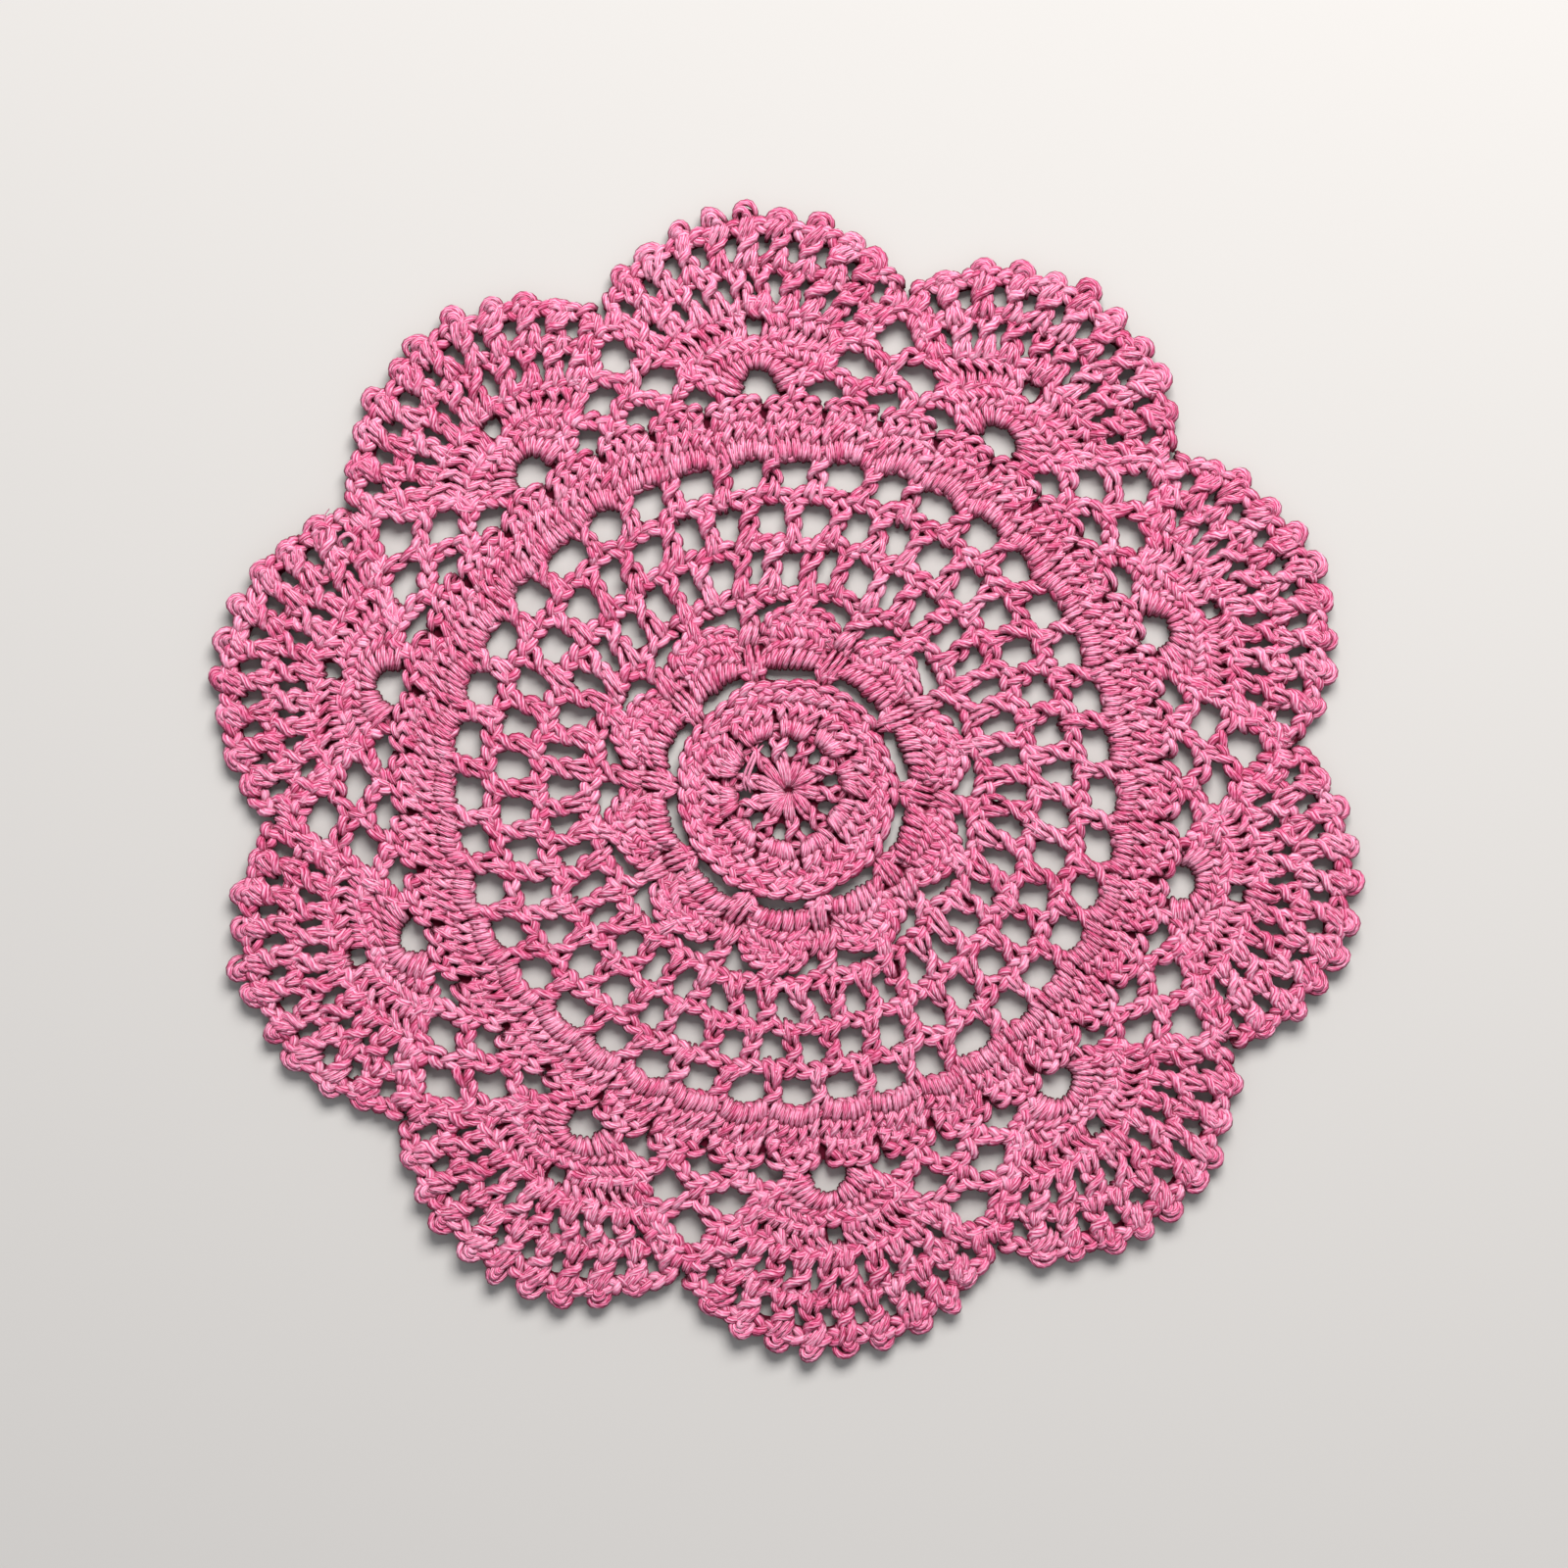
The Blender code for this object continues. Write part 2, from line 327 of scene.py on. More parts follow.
    # A picot: four slanting strands clasp the rim, with a curl and a smaller curl over them
    PICOT = Stitch((
        Strand(((-2.00, -0.16, 0.9), (-1.95, -0.02, 2.3), (-1.50, 0.24, 3.0), (-0.80, 0.48, 2.8),
                (-0.45, 0.60, 1.7)), 0.72),
        Strand(((-1.08, -0.18, 0.9), (-1.00, -0.04, 2.6), (-0.45, 0.24, 3.3), (0.25, 0.50, 3.1),
                (0.55, 0.62, 1.9)), 0.72),
        Strand(((-0.10, -0.16, 0.9), (0.00, -0.02, 2.5), (0.55, 0.26, 3.2), (1.20, 0.50, 2.8),
                (1.45, 0.60, 1.7)), 0.72),
        Strand(((0.85, -0.10, 0.9), (0.98, 0.02, 2.2), (1.50, 0.26, 2.8), (2.00, 0.44, 2.4),
                (2.15, 0.54, 1.5)), 0.70),
        Strand(((-1.70, 0.30, 1.2), (-2.15, 0.50, 1.9), (-1.95, 0.75, 2.2), (-1.15, 0.92, 2.3),
                (0.00, 0.97, 2.4), (1.15, 0.91, 2.3), (1.95, 0.73, 2.1), (2.05, 0.50, 1.2)), 0.80),
        Strand(((-1.35, 0.46, 1.7), (-1.20, 0.66, 2.6), (-0.55, 0.80, 3.0), (0.45, 0.80, 3.0),
                (1.10, 0.66, 2.5), (1.25, 0.46, 1.6)), 0.76),
        Strand(((-0.80, 0.44, 1.9), (-0.45, 0.60, 3.0), (0.20, 0.66, 3.3), (0.80, 0.56, 2.9),
                (1.00, 0.42, 2.0)), 0.70),
        Strand(((-1.5, 0.05, 0.85), (0.0, 0.25, 0.82), (1.5, 0.10, 0.85)), 0.82, True),
        Strand(((-1.3, 0.40, 0.9), (-0.8, 0.72, 0.85), (0.8, 0.74, 0.85), (1.4, 0.40, 0.9)), 0.82, True),
    ))


@dataclass(frozen=True)
class YarnSize:
    """The yarn's build and its painted shade: fuller in the middle of a run, and painted darker low down and
    on its sides, as shade between the strands.
    """

    sides: int = 6
    hidden_sides: int = 4
    twist: float = 0.42
    step: float = 2.3
    turn: float = 0.80
    hidden_step: float = 3.2
    wander: float = 0.17
    thickness_varies: float = 0.06
    full: float = 1.10
    pinched: float = 0.74
    # painted shade: from deep to open (millimetres above the floor) the yarn goes from fully shaded to
    # unshaded, and side_shade darkens the sides that face sideways or down
    deep: float = 0.7
    open: float = 3.3
    side_shade: float = 0.92
    shade_ends: tuple = (-0.05, 0.85)
    lowest: float = 0.05
    lean: float = 0.22
    width_varies: float = 0.05
    wander_up: float = 0.5


@dataclass
class Batch:
    """Stitches of one kind that are laid together, each between its foot and its head."""

    foot: np.ndarray
    head: np.ndarray
    foot_side: np.ndarray
    head_side: np.ndarray
    foot_width: np.ndarray
    head_width: np.ndarray
    sink: np.ndarray

    def __len__(self) -> int:
        """Count the stitches."""
        return len(self.foot)

    def map(self, points: np.ndarray, lean: np.ndarray) -> np.ndarray:
        """Lay a strand's points into every stitch.

        Args:
            points: one strand's steps across, up and above.
            lean: how far each stitch leans sideways, in half widths from foot to head.

        Returns:
            An array of stitches by points by X, Y and Z.
        """
        across, up, above = points[:, 0], points[:, 1], points[:, 2]
        share = np.clip(up, 0.0, 1.0)[None, :, None]
        middle = self.foot[:, None, :] + (self.head - self.foot)[:, None, :] * up[None, :, None]
        side = self.foot_side[:, None, :] * (1.0 - share) + self.head_side[:, None, :] * share
        side = side / np.linalg.norm(side, axis=2, keepdims=True)
        width = self.foot_width[:, None] * (1.0 - share[..., 0]) + self.head_width[:, None] * share[..., 0]
        aside = across[None, :] + lean[:, None] * (up[None, :] - 0.5)
        flat = middle + side * (width * aside)[..., None]
        height = above[None, :, None] - self.sink[:, None, None]
        return np.concatenate([flat, np.maximum(height, LOWEST_LINE)], axis=2)


def smooth_line(points: np.ndarray) -> np.ndarray:
    """Draw a smooth line through some points.

    Args:
        points: the points that the line passes.

    Returns:
        The line, as points close together.
    """
    padded = np.vstack([2.0 * points[0] - points[1], points, 2.0 * points[-1] - points[-2]])
    share = np.linspace(0.0, 1.0, SMOOTH_STEPS + 1)[:-1, None]
    pieces = []
    for before, start, end, after in zip(padded, padded[1:], padded[2:], padded[3:]):
        pieces.append(0.5 * (
            2.0 * start + (end - before) * share
            + (2.0 * before - 5.0 * start + 4.0 * end - after) * share ** 2
            + (3.0 * start - before - 3.0 * end + after) * share ** 3
        ))
    return np.vstack(pieces + [points[-1:]])


def stops_along(line: np.ndarray, measure: np.ndarray, spans: int) -> np.ndarray:
    """Divide a line into equal parts of a measure that grows along it.

    Args:
        line: the line's points.
        measure: the measure at each of them.
        spans: how many parts the line gets.

    Returns:
        spans + 1 points along the line.
    """
    stops = np.linspace(0.0, measure[-1], spans + 1)
    return np.stack([np.interp(stops, measure, line[:, axis]) for axis in range(line.shape[1])], axis=1)


def smooth_run(points: np.ndarray, spans: int) -> np.ndarray:
    """Draw a smooth line through some points and divide it evenly.

    Args:
        points: the points that the line passes.
        spans: how many parts the line gets.

    Returns:
        spans + 1 points along the line.
    """
    line = smooth_line(points)
    measure = np.concatenate([[0.0], np.cumsum(np.linalg.norm(np.diff(line, axis=0), axis=1))])
    return stops_along(line, measure, spans)


def bending_run(points: np.ndarray, step: float, turn: float) -> np.ndarray:
    """Draw a smooth line through some points, with more stops where it bends.

    Args:
        points: the points that the line passes.
        step: how far apart the stops are where it is straight.
        turn: how far it may turn between two stops, in radians.

    Returns:
        The stops along the line.
    """
    line = smooth_line(points)
    moves = np.diff(line, axis=0)
    lengths = np.linalg.norm(moves, axis=1)
    ahead = moves / (lengths[:, None] + TINY)
    bends = np.arccos(np.clip(np.sum(ahead[1:] * ahead[:-1], axis=1), -1.0, 1.0))
    bends = np.concatenate([[0.0], bends])
    measure = np.concatenate([[0.0], np.cumsum(lengths / step + bends / turn)])
    return stops_along(line, measure, max(3, round(measure[-1])))


@dataclass
class YarnWork:
    """A group of rounds, gathered into one mesh of yarn."""

    name: str
    hands: HandWork
    yarn: YarnSize = YarnSize()
    seed: int = 1
    points: list = field(default_factory=list)
    corners: list = field(default_factory=list)
    sizes: list = field(default_factory=list)
    wraps: list = field(default_factory=list)
    tones: list = field(default_factory=list)
    painted_shades: list = field(default_factory=list)
    count: int = 0
    length: float = 0.0

    def __post_init__(self) -> None:
        """Seed the group's own small differences."""
        self.chance = np.random.default_rng(self.seed)

    def along(self, places: np.ndarray, links: int, width: float, closed: bool = False,
              sink: tuple = (0.0,), jog: float = 0.20) -> Batch:
        """Lay chain links one after another along a line.

        Args:
            places: points on the line.
            links: how many links there are.
            width: half a link's width.
            closed: whether the last link meets the first.
            sink: how far the links lie down, link after link, repeated along the line.
            jog: how far the joints stray from the line.

        Returns:
            The links.
        """
        line = np.vstack([places, places[:1]]) if closed else places
        even = smooth_run(line, links)
        stray = self.chance.normal(0.0, jog, even.shape)
        if closed:
            stray[-1] = stray[0]
        even = even + stray
        step = np.diff(even, axis=0)
        step /= np.linalg.norm(step, axis=1, keepdims=True) + TINY
        if closed:
            joints = step + np.roll(step, 1, axis=0)
            joints = np.vstack([joints, joints[:1]])
        else:
            joints = np.vstack([step[:1], step[1:] + step[:-1], step[-1:]])
        joints /= np.linalg.norm(joints, axis=1, keepdims=True) + TINY
        side = np.stack([joints[:, 1], -joints[:, 0]], axis=1)
        wide = np.full(links, width)
        down = np.resize(np.array(sink), links)
        return Batch(even[:-1], even[1:], side[:-1], side[1:], wide, wide.copy(), down)

    def row(self, line: Arc, half: float, axes: np.ndarray, links: int, width: float,
            sink: tuple = (0.0,), stops: int = 13) -> Batch:
        """Lay a row of chain links along an arc in every repeat.

        Args:
            line: the row's line.
            half: how far it reaches each way.
            axes: the repeats' axes.
            links: how many links each row has.
            width: half a link's width.
            sink: how far the links lie down, link after link.
            stops: how many points the line is drawn through.

        Returns:
            The links of all the rows.
        """
        rows = []
        for axis in axes:
            places = line.at(spread(stops, half), np.array([axis]))[0]
            rows.append(self.along(places, links, width, False, sink))
        return join(rows)

    def work(self, kind: StitchKind, batch: Batch, thick: float = 1.0, loose: float = 1.0) -> None:
        """Lay every stitch of a batch.

        Args:
            kind: which stitch it is.
            batch: where the stitches are.
            thick: how thick their yarn lies, against the stitch's own.
            loose: how much the stitches differ from each other.
        """
        number = len(batch)
        varies = self.yarn.width_varies * loose
        batch.foot_width = batch.foot_width * self.chance.normal(1.0, varies, number)
        batch.head_width = batch.head_width * self.chance.normal(1.0, varies, number)
        tone = self.chance.uniform(0.0, 1.0, number)
        lean = self.chance.normal(0.0, self.yarn.lean * loose, number)
        reach = float(np.median(np.linalg.norm(batch.head - batch.foot, axis=1)))
        width = float(np.median(batch.foot_width + batch.head_width)) * 0.5
        scale = np.array([width, reach, 1.0])
        for strand in kind.value.strands:
            step = self.yarn.hidden_step if strand.hidden else self.yarn.step
            stops = bending_run(np.array(strand.points) * scale, step, self.yarn.turn)
            paths = batch.map(stops / scale, lean)
            share = np.linspace(0.0, 1.0, paths.shape[1])[None, :, None]
            first = self.chance.normal(0.0, self.yarn.wander * loose, (number, 1, 3))
            last = self.chance.normal(0.0, self.yarn.wander * loose, (number, 1, 3))
            paths = paths + (first + (last - first) * share) * np.array([1.0, 1.0, self.yarn.wander_up])
            sides = self.yarn.hidden_sides if strand.hidden else self.yarn.sides
            self.sweep(paths, strand.radius * thick, sides, tone)

    def sweep(self, paths: np.ndarray, radius: float, sides: int, tone: np.ndarray) -> None:
        """Lay yarn along paths, as closed tubes.

        Args:
            paths: an array of strands by points by X, Y and Z.
            radius: the yarn's radius.
            sides: how many faces go round it.
            tone: each strand's place between the yarn's dark and light.
        """
        number, stops, _ = paths.shape
        ahead = np.gradient(paths, axis=1)
        ahead /= np.linalg.norm(ahead, axis=2, keepdims=True) + TINY
        steps = np.linalg.norm(np.diff(paths, axis=1), axis=2)
        run = np.concatenate([np.zeros((number, 1)), np.cumsum(steps, axis=1)], axis=1)
        self.length += float(run[:, -1].sum())
        normal = np.zeros_like(paths)
        start = np.tile(np.array([0.0, 0.0, 1.0]), (number, 1))
        start += np.where(np.abs(ahead[:, 0, 2:3]) > STEEP, 1.0, 0.0) * np.array([ASIDE])
        for stop in range(stops):
            tangent = ahead[:, stop]
            start = start - tangent * np.sum(start * tangent, axis=1, keepdims=True)
            start = start / (np.linalg.norm(start, axis=1, keepdims=True) + TINY)
            normal[:, stop] = start
        other = np.cross(ahead, normal)
        spin = self.chance.uniform(0.0, math.tau, (number, 1)) + self.yarn.twist * run
        turn = spin[:, :, None] + math.tau * np.arange(sides)[None, None, :] / sides
        outward = (
            np.cos(turn)[..., None] * normal[:, :, None, :] + np.sin(turn)[..., None] * other[:, :, None, :]
        )
        bulge = np.sin(np.pi * np.linspace(0.0, 1.0, stops))
        swell = self.yarn.pinched + (self.yarn.full - self.yarn.pinched) * bulge
        thick = radius * self.chance.normal(1.0, self.yarn.thickness_varies, (number, 1)) * swell[None, :]
        rings = paths[:, :, None, :] + thick[:, :, None, None] * outward
        rings[..., 2] = np.maximum(rings[..., 2], self.yarn.lowest)
        self.points.append(rings.reshape(-1, 3))
        # Painted shade: darker where the tube faces sideways or down and where it sits low, standing in for
        # the shade between the strands
        shade = 1.0 - self.yarn.side_shade * (1.0 - ease(*self.yarn.shade_ends, outward[..., 2]))
        self.painted_shades.append((ease(self.yarn.deep, self.yarn.open, rings[..., 2]) * shade).ravel())
        self.close(number, stops, sides, run)
        self.tones.append(np.repeat(tone, stops * sides))
        self.count += number * stops * sides

    def close(self, number: int, stops: int, sides: int, run: np.ndarray) -> None:
        """Join the rings of some strands with faces, and close both ends.

        Args:
            number: how many strands there are.
            stops: how many rings each has.
            sides: how many points a ring has.
            run: how far along the yarn each ring is.
        """
        ring = np.arange(sides)
        after = (ring + 1) % sides
        low = (np.arange(stops - 1) * sides)[:, None]
        quads = np.stack([low + ring, low + after, low + sides + after, low + sides + ring], axis=-1)
        corners = np.concatenate([quads.ravel(), ring[::-1], (stops - 1) * sides + ring])
        offsets = self.count + stops * sides * np.arange(number)
        self.corners.append((offsets[:, None] + corners[None, :]).ravel())
        sizes = np.concatenate([np.full((stops - 1) * sides, 4), [sides, sides]])
        self.sizes.append(np.tile(sizes, number))
        low_u = np.stack([ring, ring + 1, ring + 1, ring], axis=-1).ravel() / sides
        u = np.concatenate([np.tile(low_u, stops - 1), ring[::-1] / sides, ring / sides])
        v = run[:, corners // sides]
        self.wraps.append(np.stack([np.broadcast_to(u, v.shape), v], axis=-1).reshape(-1, 2))

    def finish(self, material: bpy.types.Material) -> bpy.types.Object:
        """Make the group's mesh, bend it as the handwork is, and dress it.

        Args:
            material: the yarn's finish.

        Returns:
            The finished piece.
        """
        places = self.hands.bend(np.concatenate(self.points)) * MM
        corners = np.concatenate(self.corners).astype(np.int32)
        sizes = np.concatenate(self.sizes).astype(np.int32)
        mesh = bpy.data.meshes.new(self.name)
        mesh.vertices.add(len(places))
        mesh.vertices.foreach_set("co", places.astype(np.float32).ravel())
        mesh.loops.add(len(corners))
        mesh.loops.foreach_set("vertex_index", corners)
        mesh.polygons.add(len(sizes))
        starts = np.concatenate([[0], np.cumsum(sizes)[:-1]]).astype(np.int32)
        mesh.polygons.foreach_set("loop_start", starts)
        wraps = mesh.uv_layers.new(name="yarn")
        wraps.data.foreach_set("uv", np.concatenate(self.wraps).astype(np.float32).ravel())
        tone = mesh.attributes.new("tone", "FLOAT", "POINT")
        tone.data.foreach_set("value", np.concatenate(self.tones).astype(np.float32))
        # Painted shade: the lie attribute holds each point's painted shade, from 0 in full shade to 1
        # unshaded
        lie = mesh.attributes.new("lie", "FLOAT", "POINT")
        lie.data.foreach_set("value", np.concatenate(self.painted_shades).astype(np.float32))
        mesh.materials.append(material)
        mesh.update(calc_edges=True)
        mesh.validate()
        mesh.shade_smooth()
        piece = bpy.data.objects.new(self.name, mesh)
        bpy.context.scene.collection.objects.link(piece)
        triangles = int((sizes - 2).sum())
        log.info("%s: %d triangles, %.1f m of yarn", self.name, triangles, self.length * MM)
        return piece


def between(low: Arc, high: Arc, feet: np.ndarray, heads: np.ndarray, axes: np.ndarray,
            widths: tuple, head_axes: np.ndarray | None = None) -> Batch:
    """Stand stitches between two rows, in every repeat.

    Args:
        low: the row that the feet are worked in.
        high: the row of the stitches' heads.
        feet: the feet's angles on the lower row.
        heads: the heads' angles on the upper row.
        axes: the repeats' axes.
        widths: half a stitch's width at its foot and at its head.
        head_axes: the axes of the upper row, where they have crept.

    Returns:
        The stitches.
    """
    foot, foot_side = low.at(feet, axes)
    head, head_side = high.at(heads, axes if head_axes is None else head_axes)
    number = len(foot)
    foot_width, head_width = (np.full(number, width) for width in widths)
    return Batch(foot, head, foot_side, head_side, foot_width, head_width, np.zeros(number))


def tied(low: tuple, high: tuple, axes: np.ndarray, widths: tuple) -> Batch:
    """Stand one stitch in every repeat, from one place to another.

    Args:
        low: the angle and the radius of its foot.
        high: the angle and the radius of its head.
        axes: the repeats' axes.
        widths: half its width at its foot and at its head.

    Returns:
        The stitches.
    """
    foot, head = np.array([low[0]]), np.array([high[0]])
    return between(Arc(0.0, low[1]), Arc(0.0, high[1]), foot, head, axes, widths)


def join(batches: list[Batch]) -> Batch:
    """Put several batches together.

    Args:
        batches: the batches.

    Returns:
        One batch of all their stitches.
    """
    names = ("foot", "head", "foot_side", "head_side", "foot_width", "head_width", "sink")
    return Batch(*(np.concatenate([getattr(batch, name) for batch in batches]) for name in names))


def ring_places(radius: float, start: float = 0.0, wave: float = 0.0, waves: int = 0) -> np.ndarray:
    """Trace a whole round, with its line drawn in at some stitches.

    Args:
        radius: the round's radius.
        start: the angle of its first point, where it is drawn in most.
        wave: how far the line goes in and out.
        waves: how many times it does so.

    Returns:
        Points on the round, without the first again at the end.
    """
    steps = np.arange(0.0, 360.0, RING_STEP)
    out = radius - wave * np.cos(np.radians(steps * max(waves, 1)))
    turn = np.radians(steps + start)
    return np.stack([out * np.sin(turn), out * np.cos(turn)], axis=1)


def spread(count: int, half: float) -> np.ndarray:
    """Space stitches evenly from minus half to half."""
    return np.linspace(-half, half, count)


def turned(places: np.ndarray, axis: float) -> np.ndarray:
    """Turn points clockwise by a repeat's axis.

    Args:
        places: points beside +Y.
        axis: the angle to turn by.

    Returns:
        The turned points.
    """
    cosine, sine = math.cos(math.radians(axis)), math.sin(math.radians(axis))
    x, y = places[:, 0], places[:, 1]
    return np.stack([x * cosine + y * sine, y * cosine - x * sine], axis=1)


def polar(pairs: tuple) -> np.ndarray:
    """Turn pairs of angle and radius into points."""
    table = np.array(pairs, dtype=float)
    turn = np.radians(table[:, 0])
    return np.stack([table[:, 1] * np.sin(turn), table[:, 1] * np.cos(turn)], axis=1)


@dataclass
class Middle:
    """The solid middle: a first round of ten, a second of forty, and a third of short stitches."""

    first_foot: float = 1.3
    first_head: float = 10.9
    first_axis: float = -10.0
    first_widths: tuple = (0.45, 3.0)
    first_line: float = 12.6
    first_line_sink: float = 1.1
    space_axis: float = 8.0
    second_below: float = 1.3
    second_feet: tuple = (-8.0, -2.7, 2.7, 8.0)
    second_heads: tuple = (-13.5, -4.5, 4.5, 13.5)
    second_head: float = 18.2
    second_widths: tuple = (0.62, 1.35)
    second_thick: float = 1.1
    second_line: float = 19.0
    second_start: float = 4.0
    second_line_sink: float = 0.3
    third_axis: float = 3.0
    third_lean: float = 1.0
    third_head: float = 21.4
    third_widths: tuple = (1.3, 1.5)
    third_line: float = 22.0
    third_start: float = 2.0
    third_thick: float = 1.12
    line_widths: tuple = (1.1, 1.25, 1.15)

    def build(self, work: YarnWork) -> None:
        """Work the three rounds.

        Args:
            work: the group of rounds that they go in.
        """
        first_width, second_width, third_width = self.line_widths
        one = np.array([self.first_axis])
        low, high = Arc(0.0, self.first_foot), Arc(0.0, self.first_head)
        work.work(StitchKind.RAY, between(low, high, one, one, REPEAT_STARTS, self.first_widths))
        places = ring_places(self.first_line)
        line = work.along(places, 2 * REPEATS, first_width, True, (self.first_line_sink,))
        work.work(StitchKind.CHAIN, line)
        feet = self.space_axis + np.array(self.second_feet)
        heads = self.space_axis + np.array(self.second_heads)
        low, high = Arc(0.0, self.first_line - self.second_below), Arc(0.0, self.second_head)
        second = between(low, high, feet, heads, REPEAT_STARTS, self.second_widths)
        work.work(StitchKind.OVER, second, self.second_thick)
        places = ring_places(self.second_line, self.second_start)
        line = work.along(places, NET_STITCHES, second_width, True, (self.second_line_sink,))
        work.work(StitchKind.CHAIN, line)
        every = NET_ANGLE * np.arange(NET_STITCHES) + self.third_axis
        low, high = Arc(0.0, self.second_line), Arc(0.0, self.third_head)
        third = between(low, high, every, every + self.third_lean, np.zeros(1), self.third_widths)
        work.work(StitchKind.SHORT, third)
        places = ring_places(self.third_line, self.third_start)
        line = work.along(places, NET_STITCHES, third_width, True)
        work.work(StitchKind.CHAIN, line, self.third_thick)


@dataclass
class InnerShells:
    """Ten shells on chain loops, with a short round over them, and the chain round that they hold."""

    loop_axis: float = 38.0
    tip_axis: float = 40.2
    loop_shape: tuple = (
        # turn from the loop's axis, radius
        (-18.0, 25.0), (-14.5, 26.0), (-9.0, 28.0), (0.0, 28.0), (9.0, 28.0), (14.5, 26.0), (18.0, 25.0),
    )
    loop_sinks: tuple = (0.4, 1.4, 1.4, 1.4, 1.4, 0.4)
    loop_width: float = 1.0
    bridge: tuple = ((-18.0, 23.4), (-16.8, 31.6))
    bridge_widths: tuple = (1.3, 2.0)
    bridge_sink_share: float = 0.3
    stitches: int = 10
    foot_radius: float = 26.2
    foot_half: float = 13.4
    shell_widths: tuple = (0.72, 1.25)
    shell_thick: float = 1.06
    hub: float = 29.7
    head_radius: float = 5.8
    head_half: float = 83.0
    head_links: int = 8
    short_narrower: float = 4.0
    short_widths: tuple = (1.0, 1.25)
    crown_radius: float = 7.9
    crown_half: float = 82.0
    crown_further: float = 0.4
    crown_wider: float = 3.0
    crown_links: int = 10
    crown_width: float = 1.2
    crown_thick: float = 1.06
    valley_sink: float = 1.1
    valley_steepness: int = 4
    chain_line: float = 42.3
    chain_wave: tuple = (
        # turn from the repeat's start, step outward from the chain round's line
        (5.0, -1.0), (10.0, -0.1), (15.0, 0.1), (20.0, -0.5),
        (24.0, -1.0), (28.0, -0.6), (33.0, -0.1), (37.0, -0.5),
    )
    chain_links: int = 9
    chain_width: float = 1.4
    chain_sinks: tuple = (0.2, 0.8, 0.5)
    chain_thick: float = 1.22
    chain_loose: float = 1.3
    tip_tie: tuple = ((4.0, 36.6), (5.2, 42.1))
    tip_widths: tuple = (1.5, 1.5)
    valley_tie: tuple = ((21.6, 33.0), (23.8, 41.5))
    valley_widths: tuple = (1.3, 2.3)
    valley_tie_sink_share: float = 0.4
    valley_thick: float = 1.08

    def build(self, work: YarnWork) -> None:
        """Work the loops, the bridges between them, the shells and the chain round.

        Args:
            work: the group of rounds that they go in.
        """
        links = len(self.loop_sinks)
        loops = []
        for start in REPEAT_STARTS:
            pairs = tuple((self.loop_axis + start + turn, radius) for turn, radius in self.loop_shape)
            loops.append(work.along(polar(pairs), links, self.loop_width, False, self.loop_sinks))
        work.work(StitchKind.CHAIN, join(loops))
        axes = REPEAT_STARTS + self.loop_axis
        bridges = tied(*self.bridge, axes, self.bridge_widths)
        bridges.sink += self.bridge_sink_share * self.valley_sink
        work.work(StitchKind.KNOT, bridges)
        self.shells(work, axes, REPEAT_STARTS + self.tip_axis)
        self.chain_round(work)

    def down(self, count: int) -> np.ndarray:
        """Find how far a shell's stitches lie down, from its middle to the valleys beside it."""
        return self.valley_sink * np.abs(spread(count, 1.0)) ** self.valley_steepness

    def shells(self, work: YarnWork, axes: np.ndarray, tips: np.ndarray) -> None:
        """Work the shells, the short stitches over them and both rows of loops.

        Args:
            work: the group of rounds that they go in.
            axes: the axes of the shells' feet.
            tips: the axes of their heads.
        """
        count = self.stitches
        heads = Arc(self.hub, self.head_radius)
        shells = between(
            Arc(0.0, self.foot_radius), heads, spread(count, self.foot_half), spread(count, self.head_half),
            axes, self.shell_widths, tips
        )
        shells.sink += np.tile(self.down(count), REPEATS)
        work.work(StitchKind.FAN, shells, self.shell_thick)
        row = work.row(heads, self.head_half, tips, self.head_links, self.crown_width,
                       tuple(self.down(self.head_links)))
        work.work(StitchKind.CHAIN, row, self.crown_thick)
        short = between(
            heads, Arc(self.hub, self.crown_radius), spread(count, self.head_half - self.short_narrower),
            spread(count, self.crown_half), tips, self.short_widths
        )
        short.sink += np.tile(self.down(count), REPEATS)
        work.work(StitchKind.SHORT, short)
        crown = Arc(self.hub, self.crown_radius + self.crown_further)
        row = work.row(crown, self.crown_half + self.crown_wider, tips, self.crown_links, self.crown_width,
                       tuple(self.down(self.crown_links)))
        work.work(StitchKind.CHAIN, row, self.crown_thick)

    def chain_round(self, work: YarnWork) -> None:
        """Work the chain round over the shells, held at their tips and deep in the valleys.

        Args:
            work: the group of rounds that it goes in.
        """
        pairs = tuple(
            (start + turn, self.chain_line + out) for start in REPEAT_STARTS for turn, out in self.chain_wave
        )
        links = self.chain_links * REPEATS
        chain = work.along(polar(pairs), links, self.chain_width, True, self.chain_sinks)
        work.work(StitchKind.CHAIN, chain, self.chain_thick, self.chain_loose)
        work.work(StitchKind.KNOT, tied(*self.tip_tie, REPEAT_STARTS, self.tip_widths))
        valleys = tied(*self.valley_tie, REPEAT_STARTS, self.valley_widths)
        valleys.sink += self.valley_tie_sink_share * self.valley_sink
        work.work(StitchKind.POST, valleys, self.valley_thick)


